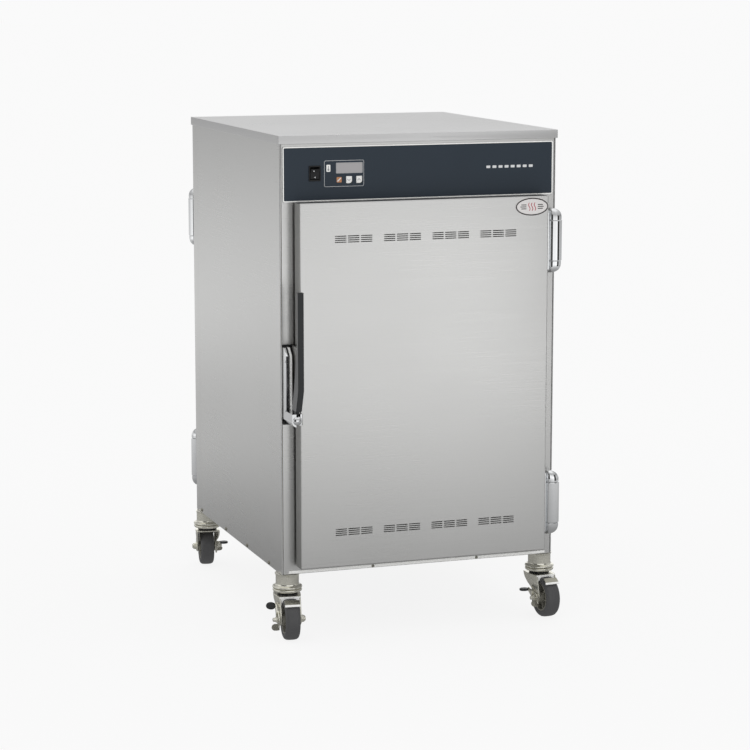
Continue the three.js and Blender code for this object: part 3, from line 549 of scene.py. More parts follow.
def wire_shelf(name, level):
    z = RACK_LEVELS[level] + 7.8
    x, y = SHELF_HALF
    shelf = Shape()
    rim = [(a, b, z) for a, b in rounded_rectangle((-x, x), (-y, y), 14)]
    shelf.tube(rim, 2.5, loop=True)
    pitch = (2 * x + 5) / (SHELF_WIRES + 1)
    for i in range(SHELF_WIRES):
        wire_x = (i - (SHELF_WIRES - 1) / 2) * pitch
        shelf.tube([(wire_x, -y, z), (wire_x, y, z)], 1.7)
    for cross_y in (-190, 0, 190):
        shelf.tube([(-221, cross_y, z - 1.9), (221, cross_y, z - 1.9)], 1.5)
    build(shelf, f"{name}_wires", name, CHROME, replaces=name, slot="chrome")


def air_sensor():
    wall, z = -LINER_WALL, 864
    plate = Shape().plate((165, 185), (z - 8, z + 8), (0, 1.2), 3)
    sensor = plate.moved(Matrix.Translation((wall, 0, 0)) @ Matrix.Rotation(math.radians(90), 4, "Z"))
    sensor.box((wall, wall + 8), (173, 177), (z - 6, z + 6))
    sensor.tube([(wall + 7, 120, z), (wall + 7, 230, z)], 3, sides=20)
    sensor.lathe("y", (wall + 7, z), [(3, 120), (2.4, 118), (1, 117)], sides=20)
    for screw_z in (z - 5, z + 5):
        sensor.lathe("x", (169, screw_z), [(2, wall + 1), (2, wall + 2), (1, wall + 2.6)], sides=16)
    build(sensor, "air_sensor_probe", "cabinet", LINER, replaces="air_sensor", slot="liner_steel", bevel=0.3)


side_rack("side_rack_left", -1)
side_rack("side_rack_right", 1)
for shelf_name, shelf_level in SHELF_LEVELS.items():
    wire_shelf(shelf_name, shelf_level)
air_sensor()

# ------------------------------------------------------------------ controls


def stroke(shape, outline, width, y, look=0):
    """A flat closed line across Y: outline is its middle."""
    count = len(outline)
    inner, outer = [], []
    for i in range(count):
        before, after = Vector(outline[i - 1]), Vector(outline[(i + 1) % count])
        along = (after - before).normalized()
        across = Vector((along.y, -along.x)) * width / 2
        here = Vector(outline[i])
        inner.append(here - across)
        outer.append(here + across)
    rings = [
        [(p.x, y[0], p.y) for p in outer],
        [(p.x, y[1], p.y) for p in outer],
        [(p.x, y[1], p.y) for p in inner],
        [(p.x, y[0], p.y) for p in inner],
    ]
    shape.loft(rings, look, loop=True)


def ribbon(shape, path, width, y, look=0):
    """A flat open line across Y with square ends."""
    left, right = [], []
    for i, point in enumerate(path):
        before, after = Vector(path[max(i - 1, 0)]), Vector(path[min(i + 1, len(path) - 1)])
        along = (after - before).normalized()
        across = Vector((along.y, -along.x)) * width / 2
        left.append(Vector(point) + across)
        right.append(Vector(point) - across)
    rings = []
    for a, b in zip(left, right):
        rings.append([(a.x, y[0], a.y), (a.x, y[1], a.y), (b.x, y[1], b.y), (b.x, y[0], b.y)])
    shape.loft(rings, look)


def grown(span, by):
    return (span[0] - by, span[1] + by)


def control_panel():
    """The coated front with its openings, the border round it painted bright as a highlight, and what is
    printed on it.
    """
    dress("control_panel", STEEL, 0.5)
    dress("display_window", DISPLAY, 0.5)
    face = PANEL_FACE - 0.05
    top = face - 0.35
    through = (top - 2, face + 2)
    window = (grown(DISPLAY_X, -0.3), grown(DISPLAY_Z, -1.3))
    holes = Shape().plate(grown((SWITCH_X, SWITCH_X), 12.2), grown((SWITCH_Z, SWITCH_Z), 15.2), through, 1)
    holes.plate(*window, through, 0.8)
    for x in KEY_X.values():
        holes.plate(grown(x, -0.6), grown(KEY_Z, -0.6), through, 0.8)
    overlay = Shape().plate(OVERLAY_X, OVERLAY_Z, (top, face), 2.5)
    build(overlay, "panel_overlay", "cabinet", OVERLAY, slot="panel_coating", cut=holes)
    trim = Shape()
    stroke(trim, rounded_rectangle(grown(OVERLAY_X, 1.2), grown(OVERLAY_Z, 1.2), 3), 2.2, (top - 0.5, face))
    build(trim, "panel_trim", "cabinet", PAINTED_HIGHLIGHT_PLATE, slot="casing_steel", bevel=0.15)

    ink_face = (top - 0.06, top + 0.1)
    outline = Shape()
    stroke(outline, rounded_rectangle(KEYPAD_X, KEYPAD_Z, 3), 0.6, ink_face)
    build(outline, "keypad_outline", "cabinet", INK_LIGHT)
    lamp = Shape().plate((-209.7, -201.0), (998.2, 1012.9), (top - 0.12, top + 0.1), 1.6)
    build(lamp, "heat_lamp", "cabinet", WHITE, slot="white_plastic")
    symbol = Shape().lathe("y", (-205.3, 1002.2), [(2.3, top), (2.3, top - 0.2)], sides=24)
    symbol.plate((-206.2, -204.4), (1003, 1010.6), (top - 0.2, top), 0.8)
    build(symbol, "heat_lamp_symbol", "cabinet", INK_GREY)
    square = Shape().plate((-187.2, -176.2), (975.4, 986.6), ink_face, 1.4)
    build(square, "set_symbol_square", "cabinet", INK_AMBER)
    pen = Shape()
    ribbon(pen, [(-185.4, 977.4), (-178.0, 984.8)], 2.4, (top - 0.12, top + 0.05))
    build(pen, "set_symbol_stroke", "cabinet", INK_LIGHT)
    mark = Shape()
    for x in range(150, 262, 14):
        mark.plate((x, x + 9), (996.6, 1002.0), ink_face, 0.8, steps=3)
    build(mark, "panel_mark", "cabinet", INK_LIGHT)
    bezel = Shape()
    stroke(bezel, rounded_rectangle(*window, 1.2), 0.7, (top - 0.15, top + 0.1))
    build(bezel, "display_bezel", "cabinet", INK_GREY)


def keys():
    """Each key's cap has one round corner and carries an arrow head."""
    corner = 5.5
    for key, direction in (("down", -1), ("up", 1)):
        (left, right), (low, high) = grown(KEY_X[key], -0.9), grown(KEY_Z, -0.9)
        round_corner = arc((right - corner, low + corner), corner, 270, 360, 6)
        outline = [(left, low), *round_corner, (right, high), (left, high)]
        cap = Shape().prism("y", outline, PANEL_FACE - 1.2, PANEL_FACE + 5)
        body = f"key_{key}"
        build(cap, f"key_{key}_cap", body, WHITE, replaces=body, slot="white_plastic", bevel=0.6)
        x, z = (left + right) / 2 - 0.5, (low + high) / 2
        foot = z - direction * 1.8
        arrow = Shape()
        path = [(x - 3.4, foot), (x, z + direction * 2.2), (x + 3.4, foot)]
        ribbon(arrow, path, 1.6, (PANEL_FACE - 1.32, PANEL_FACE - 1.1))
        build(arrow, f"key_{key}_arrow", body, INK_GREY)


def power_switch():
    dress("switch_housing", BLACK, 0.7, 3)
    dress("power_rocker", BLACK, 0.8, 3)
    pivot = Matrix.Translation((SWITCH_X, PANEL_FACE + 4, SWITCH_Z))
    signs = Shape()
    for x, z, y in ((-2.6, 6.2, -7.4), (0.4, -7.2, -7.5)):
        signs.lathe("y", (x, z), [(1.2, y - 0.16), (1.2, y + 0.6)], sides=20)
    signs = signs.moved(pivot @ Matrix.Rotation(math.radians(8), 4, "X"))
    build(signs, "rocker_marks", "rocker", INK_LIGHT)


def cord_gland():
    back = -FRONT
    gland = Shape().lathe("y", GLAND, [(14, back + 0.3), (14, back + 7), (12.6, back + 8.6)], sides=6)
    nut = [(5, -14), (8.3, -14), (8.3, 8), (11.4, 8.2), (11.4, 13), (10.4, 15.5), (8.6, 19), (7.2, 20)]
    nut += [(5, 19.6)]
    gland.lathe("y", GLAND, [(radius, back + out) for radius, out in nut], sides=40, loop=True)
    place = Matrix.Translation((GLAND[0], back + 8.4, GLAND[1])) @ Matrix.Rotation(math.radians(-90), 4, "X")
    rib = Shape().box((10.9, 12.0), (-0.9, 0.9), (0, 4.6))
    for i in range(12):
        gland.merge(rib.moved(place @ Matrix.Rotation(math.radians(30 * i), 4, "Z")))
    build(gland, "cord_gland_body", "cabinet", BLACK, replaces="cord_gland", slot="black_plastic", bevel=0.5)


control_panel()
keys()
power_switch()
cord_gland()

# ------------------------------------------------------------------ doors


def door_shell():
    """The folded skin. Looks: 0 the brushed face, 1 the edge all round it, darkened as painted shade."""
    edge, inner = 2.4, DOOR_SHEET
    levels = [(0, DOOR_BACK, 1.6)]
    levels += [(edge - a, DOOR_FRONT + edge - b, 1.6) for a, b in arc((0, 0), edge, 0, 90, 5)]
    levels += [(edge, DOOR_FRONT + inner, 1.2), (inner, DOOR_FRONT + edge, 1.0), (inner, DOOR_BACK, 1.0)]
    rings = []
    for inset, y, radius in levels:
        x, z = grown((DOOR_LEFT, DOOR_RIGHT), -inset), grown((DOOR_BOTTOM, DOOR_TOP), -inset)
        rings.append([(a, y, b) for a, b in rounded_rectangle(x, z, radius, 4)])
    shell = Shape()
    shell.points = [Vector(p) for ring in rings for p in ring]
    front_ring, inner_ring, edge_rings = 6, 7, 3
    count = len(rings[0])
    for i in range(len(rings)):
        if i == front_ring:
            continue
        a, b = i * count, (i + 1) % len(rings) * count
        for j in range(count):
            k = (j + 1) % count
            shell.face((a + j, a + k, b + k, b + j), 1 if i < edge_rings else 0)
    for ring in (front_ring, inner_ring):
        shell.face(tuple(ring * count + j for j in range(count)), 0)
    return shell


def vent_slots():
    slots = Shape()
    for height in VENT_HEIGHTS:
        for group in range(4):
            for column in range(3):
                x = (group - 1.5) * VENT_GROUP_PITCH + (column - 1) * VENT_COLUMN_PITCH
                for row in range(4):
                    z = height + (row - 1.5) * VENT_ROW_PITCH
                    slot = (grown((x, x), 12.8), grown((z, z), 1))
                    slots.plate(*slot, (DOOR_FRONT - 1, DOOR_FRONT + 2.2), 0.9, steps=3)
    return slots


def gasket():
    low, high = DOOR_BACK + 0.3, FRONT - 0.5
    profile = [(6.4, low), (6.4, low + 1.6), (3.6, low + 2.0)]
    profile += arc((0, high - 2.6), (3.6, 2.6), 10, 170, 8)
    profile += [(-3.6, low + 2.0), (-6.4, low + 1.6), (-6.4, low)]
    rings = []
    for out, y in profile:
        x, z = grown((DOOR_LEFT, DOOR_RIGHT), out - 12.5), grown((DOOR_BOTTOM, DOOR_TOP), out - 12.5)
        rings.append([(a, y, b) for a, b in rounded_rectangle(x, z, 8 + out)])
    return Shape().loft(rings, loop=True)


SKIN = {"replaces": ["door_panel"], "slot": "casing_steel"}
both_doors(door_shell(), "door_skin", "{place}_door", [STEEL, PAINTED_SHADE_STEEL], cut=vent_slots(), **SKIN)
for door in ("front", "rear"):
    dress(f"{door}_door_inner", LINER, 0.35)
    dress(f"{door}_vent_slide_lower", LINER, 0.3)
    dress(f"{door}_vent_slide_upper", LINER, 0.3)
both_doors(gasket(), "door_seal", "{place}_door", RUBBER, replaces=["door_gasket"], slot="gasket")


def hinge_caps(bottom, top):
    """The two round ends of a hinge, its pin and the leaf on the frame."""
    caps = Shape()
    low, high = bottom + HINGE_CAP - 0.3, top - HINGE_CAP + 0.3
    length = HINGE_CAP - 0.3
    dome = [(2.4, 0.0), (6.4, 0.8), (9.8, 2.6), (12.6, 5.6), (14.7, 9.8), (15.8, 14.4), (16.3, 19.0)]
    dome += [(16.3, length - 0.6), (15.8, length)]
    for tip, away in ((bottom, 1), (top, -1)):
        rings = []
        for radius, depth in dome:
            outline = circle((HINGE_X - 0.75 * (16.3 - radius), HINGE_Y), radius, 48)
            rings.append([(x, y, tip + away * depth) for x, y in outline])
        caps.loft(rings)
    caps.lathe("z", (HINGE_X, HINGE_Y), [(4, low - 2), (4, high + 2)], sides=32)
    leaf = rounded_rectangle((284, 308), (bottom + 9, top - 9), 4)
    caps.prism("y", leaf, FRONT - 4.3, FRONT - 0.3)
    caps.box((290, 308), (HINGE_Y, FRONT - 1), (bottom + 9, low - 1))
    caps.box((290, 308), (HINGE_Y, FRONT - 1), (high + 1, top - 9))
    for z in (bottom + 16, top - 16):
        caps.lathe("y", (286.5, z), [(2.2, FRONT - 4.2), (2.2, FRONT - 5.0), (1.4, FRONT - 5.4)], sides=20)
    return caps


def hinge_cover(bottom, top):
    """The barrel between the ends, with the leaf that holds it to the door."""
    cover = Shape()
    low, high = bottom + HINGE_CAP + 0.3, top - HINGE_CAP - 0.3
    barrel = [(5, low), (16.7, low), (17.3, low + 0.9), (17.3, high - 0.9), (16.7, high), (5, high)]
    cover.lathe("z", (HINGE_X, HINGE_Y), barrel, sides=64, loop=True)
    side = [(279.4, -3), (286, -3), (294, -5), (294, 5), (294, 13), (279.4, 13)]
    cover.prism("z", [(x, HINGE_Y + y) for x, y in side], low, high)
    edge = rounded_rectangle(grown((HINGE_Y, HINGE_Y), 13), (bottom + 4, top - 4), 5)
    cover.prism("x", edge, DOOR_RIGHT + 0.3, 282.7)
    return cover


for level, (bottom, top) in HINGE_SPANS.items():
    halves = (
        (hinge_caps(bottom, top), "caps", "cabinet", "frame_half", 0.7),
        (hinge_cover(bottom, top), "cover", "{place}_door", "door_half", 0.6),
    )
    for shape, kind, body, half, bevel in halves:
        chrome = {"replaces": [f"hinge_{level}_{half}"], "slot": "chrome", "bevel": bevel}
        both_doors(shape, f"hinge_{level}_{kind}", body, CHROME, **chrome)


def latch_channel():
    """The channel on the frame. Looks: 0 chrome, 1 its dark plate and floor, 2 its inner wall, painted bright
    as a highlight.
    """
    back, front = FRONT - 2.3, CHANNEL_FRONT
    channel = Shape()
    plate = rounded_rectangle((CHANNEL_LEFT, -285), (CHANNEL_BOTTOM - 8, CHANNEL_TOP + 5), 2)
    channel.prism("y", plate, FRONT - 3.3, FRONT - 0.3, 1)
    wall = [(back, CHANNEL_BOTTOM), (front, CHANNEL_BOTTOM), (front, CHANNEL_TOP - 16)]
    wall += [(front + 15, CHANNEL_TOP), (back, CHANNEL_TOP)]
    channel.prism("x", wall, CHANNEL_LEFT, CHANNEL_LEFT + 4.5, 0)
    channel.prism("x", wall, CHANNEL_LEFT + 9.5, CHANNEL_LEFT + 13.5, 2)
    floor = [(back, CHANNEL_BOTTOM + 2), (front + 10, CHANNEL_BOTTOM + 2), (front + 10, CHANNEL_TOP - 12)]
    floor += [(front + 21, CHANNEL_TOP - 2), (back, CHANNEL_TOP - 2)]
    channel.prism("x", floor, CHANNEL_LEFT + 4, CHANNEL_LEFT + 12.5, 1)
    channel.box((CHANNEL_LEFT, -291.5), (front, back), (CHANNEL_BOTTOM, CHANNEL_BOTTOM + 6), 0)
    rivet = [(3.2, CHANNEL_LEFT - 0.1), (3.2, CHANNEL_LEFT - 0.9), (2.4, CHANNEL_LEFT - 1.4)]
    for z in (500, 605):
        channel.lathe("x", (front + 5, z), rivet, 0, 24)
    return channel


def latch_mount():
    """The strip on the door's edge that carries the pivot pin."""
    left, right = grown((PIVOT_X, PIVOT_X), 10.5)
    edge = DOOR_LEFT - 0.3
    mount = Shape()
    strip = rounded_rectangle((DOOR_FRONT + 1, DOOR_BACK - 2), (CHANNEL_BOTTOM, CHANNEL_TOP + 4), 4)
    mount.prism("x", strip, -290.5, edge)
    mount.box((right - 3, edge), (PIVOT_Y, DOOR_FRONT + 3), (CHANNEL_BOTTOM, CHANNEL_BOTTOM + 24))
    mount.lathe("x", (PIVOT_Y, PIVOT_Z), [(3.4, left + 2), (3.4, right - 2)], sides=32)
    return mount


def latch_housing():
    boss = arc((PIVOT_X - 2.5, PIVOT_Z - 2.5), 11, 180, 360, 24)
    boss += [(PIVOT_X + 8.5, PIVOT_Z + 14), (PIVOT_X - 13.5, PIVOT_Z + 14)]
    return Shape().prism("y", boss, PIVOT_Y - 14, DOOR_FRONT + 12)


def latch_button():
    dome = [(0.0, -20.6), (4.2, -20.0), (7.2, -18.6), (9.0, -16.8), (9.8, -14.8), (9.8, -13.2), (9.2, -11.6)]
    profile = [(radius, PIVOT_Y + y) for radius, y in dome]
    return Shape().lathe("y", (PIVOT_X - 2, PIVOT_Z + 0.2), profile, sides=48)


def latch_slot(near, far, down, up):
    """Room for the lever between the cheeks of the housing, given from the pivot."""
    width = grown((PIVOT_X, PIVOT_X), 4.3)
    return Shape().box(width, (PIVOT_Y + near, PIVOT_Y + far), (PIVOT_Z + down, PIVOT_Z + up))


def latch_lever():
    """The long grip and its hub. Looks: 0 the black plastic, 1 the same plastic painted greyer on the outer
    side as painted light.
    """
    arm_end = PIVOT_Z + 20
    sections = [
        (arm_end, PIVOT_X - 7, PIVOT_X + 6, GRIP_BACK + 20),
        (550, GRIP_LEFT, GRIP_RIGHT, GRIP_BACK + 20),
        (640, GRIP_LEFT, GRIP_RIGHT, GRIP_BACK),
        (GRIP_TOP, GRIP_LEFT, GRIP_RIGHT, GRIP_BACK),
    ]
    rings = []
    for z, left, right, back in sections:
        rings.append([(left, GRIP_FRONT, z), (right, GRIP_FRONT, z), (right, back, z), (left, back, z)])
    lever = Shape().loft(rings)
    # The outer side faces get the greyer plastic: painted light.
    for step in range(len(sections) - 1):
        lever.looks[4 * step + 3] = 1
    left, right = grown((PIVOT_X, PIVOT_X), 4)
    lever.box((left, right), grown((PIVOT_Y, PIVOT_Y), 8), (PIVOT_Z + 6, arm_end + 1))
    ring = [(4.2, left), (10.4, left), (10.4, right), (4.2, right)]
    return lever.lathe("x", (PIVOT_Y, PIVOT_Z), ring, sides=40, loop=True)


CHANNEL = {"replaces": ["latch_strike"], "slot": "chrome", "bevel": 0.9}
both_doors(latch_channel(), "latch_channel", "cabinet", [CHROME, BLACK, PAINTED_HIGHLIGHT_PLATE], **CHANNEL)
# The mount takes the darker edge steel, painted shade.
MOUNT = {"replaces": ["latch_body"], "slot": "chrome", "bevel": 0.9}
both_doors(latch_mount(), "latch_mount", "{place}_door", PAINTED_SHADE_STEEL, **MOUNT)
throat = latch_slot(-15, 13, -16, 16)
both_doors(latch_housing(), "latch_housing", "{place}_door", CHROME, slot="chrome", bevel=1.6, cut=throat)
button_slot = latch_slot(-13.6, 5, -12, 20)
both_doors(latch_button(), "latch_button", "{place}_door", CHROME, slot="chrome", cut=button_slot)
LEVER = {"replaces": ["latch_handle"], "slot": "black_plastic", "bevel": 1.4}
both_doors(latch_lever(), "latch_lever", "{place}_handle", [GRIP, LIT_GRIP_SIDE], **LEVER)


def badge():
    """An oval foil plate with a dark rim, three waves and six bars."""
    x, z = BADGE_CENTRE
    reach_x, reach_z = BADGE_REACH
    raised = (DOOR_FRONT - 0.82, DOOR_FRONT - 0.5)
    field = Shape().prism("y", circle(BADGE_CENTRE, BADGE_REACH, 72), DOOR_FRONT - 0.7, DOOR_FRONT - 0.02)
    build(field, "badge_field", "front_door", BADGE_FOIL, bevel=0.25)
    rim = Shape()
    oval = circle(BADGE_CENTRE, (reach_x - 2.2, reach_z - 2.0), 72)
    stroke(rim, oval, 2.6, (DOOR_FRONT - 0.85, DOOR_FRONT - 0.5))
    build(rim, "badge_rim", "front_door", INK_DARK)
    waves = Shape()
    for offset in (-6.5, 0, 6.5):
        path = []
        for i in range(13):
            share = i / 12
            path.append((x + offset + 1.8 * math.sin(share * 2 * math.pi), z - 8.5 + 17 * share))
        ribbon(waves, path, 1.7, raised)
    build(waves, "badge_waves", "front_door", INK_RED)
    bars = Shape()
    for side in (-1, 1):
        for row, width in ((4.2, 12), (0, 14), (-4.2, 12)):
            span = sorted((x + side * 13, x + side * (13 + width)))
            bars.plate(span, grown((z + row, z + row), 0.9), raised, 0.8, steps=3)
    build(bars, "badge_bars", "front_door", INK_DARK)


badge()

# ------------------------------------------------------------------ casters


WHEEL_CENTRE = (AXLE_Y, WHEEL_RADIUS)

# A cheek of the fork: height, its front and back there, and how far it swells outwards behind the wheel.
CHEEK = [
    (32.0, -37.5, -28.5, 0),
    (35.5, -41.8, -24.2, 0),
    (40.0, -44.8, -21.4, 0),
    (45.0, -45.8, -20.2, 0),
    (52.0, -45.4, -19.0, 0),
    (58.0, -44.4, -13.0, 0.2),
    (64.0, -42.8, -3.0, 0.9),
    (71.0, -40.6, 7.0, 2.8),
    (80.0, -38.0, 16.0, 4.4),
    (88.0, -34.8, 22.0, 4.4),
    (93.0, -32.6, 24.0, 4.2),
]


def fork():
    """Looks: 0 plated steel, 1 the black bearing seal, 2 the front flange and the guard's lip, painted bright
    as a highlight, 3 the dull wheel guard.
    """
    shape = Shape()
    race = [(6, 99.0), (28.0, 99.0), (30.0, 99.6), (31.2, 101.0), (31.6, 102.8), (31.2, 104.8), (29.8, 106.0)]
    shape.lathe("z", (0, 0), race + [(28.8, 106.6), (6, 106.6)], sides=64)
    shape.lathe("z", (0, 0), [(22, 92.5), (22, 99.6)], 1, 48)
    shape.lathe("z", (0, 0), [(5.8, 98), (5.8, 129)], sides=24)
    front, back = -33.5, 24
    half = [(FORK_OUTER, front + 1), (FORK_OUTER + 3.2, -18), (29.0, 0), (28.6, 12), (26, back)]
    shape.prism("z", half + [(-x, y) for x, y in reversed(half)], 90.4, 93.2)
    flange = [(-FORK_OUTER, 93), (-FORK_OUTER, 74), (-18.5, 74), *arc((0, 77), (17.5, 9.5), 180, 0, 16)]
    flange += [(18.5, 74), (FORK_OUTER, 74), (FORK_OUTER, 93)]
    shape.prism("y", flange, front, front + 2.6, 2)
    for hand in (-1, 1):
        rings = []
        for z, near, far, bulge in CHEEK:
            outer, inner = [], []
            for i in range(9):
                y = near + (far - near) * i / 8
                swell = min(1, max(0, (y + 33) / 34))
                x = FORK_OUTER + bulge * swell * (2 - swell)
                outer.append((hand * x, y, z))
                inner.append((hand * (x - 3), y, z))
            rings.append(outer + inner[::-1])
        shape.loft(rings)
    guard = ((5.2, 3.2, 112, 131, 10, 16, 3), (6.4, 3.0, 129, 134, 4, 16.6, 2))
    for outer, inner, start, end, steps, width, look in guard:
        section = arc(WHEEL_CENTRE, WHEEL_RADIUS + outer, start, end, steps)
        section += arc(WHEEL_CENTRE, WHEEL_RADIUS + inner, end, start, steps)
        shape.prism("x", section, -width, width, look)
    return shape


def axle():
    shape = Shape()
    shape.lathe("x", WHEEL_CENTRE, [(2.6, -38), (4.0, -37.4), (4.4, -36.4), (4.4, 33)], sides=32)
    shape.lathe("x", WHEEL_CENTRE, [(7.6, -24.2), (7.6, -23.1)], sides=32)
    for radius, low, high, chamfer in ((6.6, -27.6, -32.0, -0.8), (8.2, 23.2, 29.4, 0.8)):
        nut = [(radius * 0.86, low), (radius, low + chamfer), (radius, high - chamfer), (radius * 0.86, high)]
        shape.lathe("x", WHEEL_CENTRE, nut, sides=6)
    shape.lathe("x", WHEEL_CENTRE, [(7.0, 29.2), (6.6, 31.0), (4.6, 32.4), (1.0, 32.8)], sides=32)
    shape.lathe("x", WHEEL_CENTRE, [(10.0, 22.6), (10.0, 24.2)], sides=40)
    return shape


def tyre():
    half = [(30.5, -14.0), (32.5, -15.4), (36.0, -16.0), (39.0, -15.7), (41.6, -14.2), (43.4, -11.6)]
    half += [(44.2, -8.0), (WHEEL_RADIUS, -4.0)]
    profile = half + [(radius, -side) for radius, side in reversed(half)]
    profile += [(30.0, 11.0), (29.5, 6.0), (29.5, -6.0), (30.0, -11.0)]
    return Shape().lathe("x", WHEEL_CENTRE, profile, sides=96, loop=True)


def hub():
    shape = Shape()
    rim = [(31.0, -14.4), (31.0, 14.4), (28.4, 14.6), (27.2, 12.4), (26.6, 4.0)]
    rim += [(26.6, -4.0), (27.2, -12.4), (28.4, -14.6)]
    shape.lathe("x", WHEEL_CENTRE, rim, sides=96, loop=True)
    shape.lathe("x", WHEEL_CENTRE, [(8.0, -3), (27.0, -3), (27.0, 3), (8.0, 3)], sides=64, loop=True)
    bearing = [(6.4, -19.4), (10.4, -19.4), (11.6, -18.2), (12.4, -9)]
    bearing += [(radius, -side) for radius, side in reversed(bearing)]
    shape.lathe("x", WHEEL_CENTRE, bearing, sides=48, loop=True)
    rib = Shape().box((-11.5, 11.5), (11.0, 27.4), (-1.5, 1.5))
    place = Matrix.Translation((0, *WHEEL_CENTRE))
    for i in range(6):
        shape.merge(rib.moved(place @ Matrix.Rotation(math.radians(60 * i + 12), 4, "X")))
    return shape


def brake(lift_angle):
    """The lever with its lower lobe, and the pedal pad, both turned up by lift_angle."""
    outer = -FORK_OUTER
    plate = (outer - 3.6, outer - 0.6)
    lever = Shape()
    ring = [(6.6, plate[0]), (10.5, plate[0]), (10.5, plate[1]), (6.6, plate[1])]
    lever.lathe("x", (0, 0), ring, sides=40, loop=True)
    lever.prism("x", [(2, -9.4), (13, -1.0), (14, 13.4), (-3, 10)], *plate)
    arm = [(9.5, -2.6), (16, 1.6), (29, 9.4), (29, 17), (14, 13.4), (9.5, 12.2)]
    lever.prism("x", arm, plate[0] - 3, plate[0] + 0.4)
    toe = [(-8.6, 2), (-13, -8), (-14.4, -15), (-10, -20), (-4, -20), (2, -16), (6, -9), (8, 0)]
    lever.prism("x", toe, *plate)
    neck = [(outer - 4, 21), (outer - 8, 22), (outer - 8, 35), (outer - 4, 36)]
    lever.prism("z", neck, 11.6, 14.6)
    lobe = [(outer - 0.8, -22.4), (outer - 0.8, -8.6), (outer - 6, -8.2)]
    lobe += arc((outer - 10, -15.6), (8, 7.6), 99, 99 + 180 * 11 / 13, 11)
    flap = Shape().prism("y", lobe + [(outer - 6, -23.2)], -4.6, -2.0, 1)
    lever.merge(flap.moved(Matrix.Rotation(math.radians(-35), 4, "X")))
    turn = Matrix.Translation((0, *WHEEL_CENTRE)) @ Matrix.Rotation(math.radians(lift_angle), 4, "X")
    pad = Shape().prism("z", circle((outer - 16, 28.5), (10.6, 9.4), 40), 10.8, 15.4)
    return lever.moved(turn), pad.moved(turn)


def casters():
    yoke = {"materials": [NICKEL, BLACK, PAINTED_HIGHLIGHT_PLATE, DULL_ZINC], "slot": "zinc", "bevel": 0.8}
    plated = {"materials": [NICKEL, DULL_ZINC], "slot": "zinc", "bevel": 0.7}
    for place, (x, y, heading, lift_angle) in CASTERS.items():
        turn = Matrix.Translation((x, y, 0)) @ Matrix.Rotation(math.radians(heading), 4, "Z")
        name, wheel, pedal = f"caster_{place}", f"wheel_{place}", f"brake_{place}"
        build(fork().moved(turn), f"{name}_yoke", name, replaces=f"{name}_fork", **yoke)
        build(axle().moved(turn), f"{name}_axle", name, NICKEL, slot="zinc", bevel=0.3)
        build(tyre().moved(turn), f"{name}_tyre", wheel, TYRE, replaces=f"{name}_wheel", slot="tyre")
        build(hub().moved(turn), f"{name}_hub", wheel, HUB, bevel=0.7, slot="black_plastic")
        lever, pad = [part.moved(turn) for part in brake(lift_angle)]
        build(lever, f"{name}_lever", pedal, replaces=f"{name}_brake", **plated)
        build(pad, f"{name}_pedal_pad", pedal, GRIP, slot="black_plastic", bevel=1.4)


casters()

# ------------------------------------------------------------------ studio

FLOOR_REACH = 60.0  # in metres, as the room's sizes are
FLOOR_GLOW = 0.868
WORLD_GREY = 0.955
CAMERA_PLACE = (-1.800, -5.245, 1.4186)
CAMERA_TURN = (90 - 9.39, 0, -19.13)
CAMERA_LENS = 118.1

# The room that polished metal mirrors. Brightness by height and by distance over the ground, both as a share
# of the room's, and by bearing in degrees: 0 at the back, 90 on the right, 180 in front.
ROOM_TOP = 3.0
ROOM_RADIUS = 2.2
ROOM_SIDES = 64
ROOM_HEIGHTS = [(0.0, 0.70), (0.05, 0.82), (0.12, 1.12), (0.20, 1.02), (0.30, 0.73), (0.42, 0.45)]
ROOM_HEIGHTS += [(0.73, 0.6), (1.0, 0.9)]
ROOM_BEARINGS = [(-180, 0.98), (-155, 1.05), (-150, 0.04), (-109, 0.04), (-105, 1.0), (-70, 0.9)]
ROOM_BEARINGS += [(-60, 0.70), (-12, 0.70), (2, 1.28), (56, 1.28), (70, 0.5), (122, 0.5)]
ROOM_BEARINGS += [(125, 0.9), (128, 0.03), (149, 0.03), (152, 1.12), (162, 1.12), (180, 0.97)]
ROOM_LIFT = [(0.0, 0.0), (0.36, 0.0), (0.44, 0.95), (1.0, 0.95)]  # the least a bearing's brightness may be
GROUND_RINGS = [(0.0, 0.24), (0.25, 0.26), (0.6, 0.42), (1.0, 0.66)]


def ramp(tree, value, low, high, stops):
    """A brightness that follows a value from low to high through stops of (share of the way, brightness)."""
    share = node(tree, "ShaderNodeMapRange", Value=value, From_Min=low, From_Max=high).outputs["Result"]
    curve = node(tree, "ShaderNodeFloatCurve", Value=share)
    points = curve.mapping.curves[0].points
    for i, (position, brightness) in enumerate(stops):
        place = (position, brightness / 2)  # a curve cannot pass 1, so it holds half
        if i < 2:
            points[i].location = place
        else:
            points.new(*place)
        points[i].handle_type = "VECTOR"
    curve.mapping.update()
    return maths(tree, "MULTIPLY", curve.outputs[0], 2.0)


def room_light(tree, place):
    split = node(tree, "ShaderNodeSeparateXYZ", Vector=place).outputs
    bearing = maths(tree, "ARCTAN2", split["X"], split["Y"])
    turns = [((degrees + 180) / 360, brightness) for degrees, brightness in ROOM_BEARINGS]
    bearings = ramp(tree, bearing, -math.pi, math.pi, turns)
    lifted = maths(tree, "MAXIMUM", bearings, ramp(tree, split["Z"], 0, ROOM_TOP, ROOM_LIFT))
    return maths(tree, "MULTIPLY", ramp(tree, split["Z"], 0, ROOM_TOP, ROOM_HEIGHTS), lifted)


def ground_light(tree, place):
    length = node(tree, "ShaderNodeVectorMath", Vector=place)
    length.operation = "LENGTH"
    return ramp(tree, length.outputs["Value"], 0, ROOM_RADIUS, GROUND_RINGS)


def stage_piece(name, points, faces, material):
    mesh = bpy.data.meshes.new(name)
    mesh.from_pydata(points, [], faces)
    mesh.materials.append(material)
    made = bpy.data.objects.new(name, mesh)
    bpy.context.scene.collection.objects.link(made)
    return made


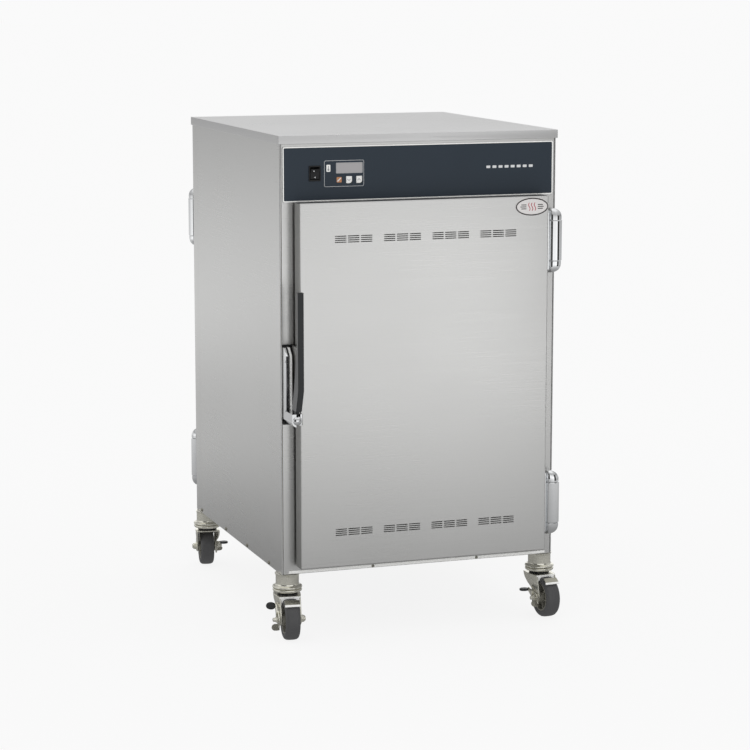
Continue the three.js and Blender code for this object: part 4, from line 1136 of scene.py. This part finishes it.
def mirrored_only(name, points, faces, light):
    """A glowing surface that shows in reflections and nowhere else. light gives its brightness."""
    material = bpy.data.materials.new(f"{name}_glow")
    material.use_nodes = True
    tree = material.node_tree
    tree.nodes.clear()
    place = tree.nodes.new("ShaderNodeTexCoord").outputs["Object"]
    glow = node(tree, "ShaderNodeEmission", Color=(1, 1, 1, 1), Strength=light(tree, place))
    node(tree, "ShaderNodeOutputMaterial", Surface=glow.outputs[0])
    made = stage_piece(name, points, faces, material)
    made.visible_camera = False
    made.visible_diffuse = False
    made.visible_transmission = False
    made.visible_volume_scatter = False
    made.visible_shadow = False
    return made


def studio():
    glow = {"Emission_Color": (1, 1, 1, 1), "Emission_Strength": FLOOR_GLOW, "Specular_IOR_Level": 0.0}
    pale = finish("pale_floor", (0.09, 0.09, 0.09), 0, 0.9, 0.004, 0.02, 2, 0.5, 0.0, 0.1, **glow)
    corners = [(x * FLOOR_REACH, y * FLOOR_REACH, 0) for x, y in ((-1, -1), (1, -1), (1, 1), (-1, 1))]
    floor = stage_piece("floor", corners, [(0, 1, 2, 3)], pale)
    floor.visible_glossy = False

    world = bpy.data.worlds.new("studio")
    bpy.context.scene.world = world
    world.use_nodes = True
    back = world.node_tree.nodes["Background"]
    back.inputs["Color"].default_value = (WORLD_GREY, WORLD_GREY, WORLD_GREY, 1)
    back.inputs["Strength"].default_value = 1.0

    ring = circle((0, 0), ROOM_RADIUS, ROOM_SIDES)
    points = [(x, y, height) for height in (0.0, ROOM_TOP) for x, y in ring]
    faces = []
    for i in range(ROOM_SIDES):
        after = (i + 1) % ROOM_SIDES
        faces.append((i, after, ROOM_SIDES + after, ROOM_SIDES + i))
    mirrored_only("reflected_room", points, faces, room_light)
    ground = mirrored_only("reflected_ground", points[:ROOM_SIDES], [tuple(range(ROOM_SIDES))], ground_light)
    ground.location.z = 0.002

    camera_data = bpy.data.cameras.new("camera")
    camera_data.lens = CAMERA_LENS
    camera_data.sensor_width = 36
    camera_data.clip_end = 200
    camera = bpy.data.objects.new("camera", camera_data)
    camera.location = CAMERA_PLACE
    camera.rotation_euler = [math.radians(angle) for angle in CAMERA_TURN]
    bpy.context.scene.collection.objects.link(camera)
    bpy.context.scene.camera = camera
    bpy.context.scene.view_settings.view_transform = "Standard"


studio()
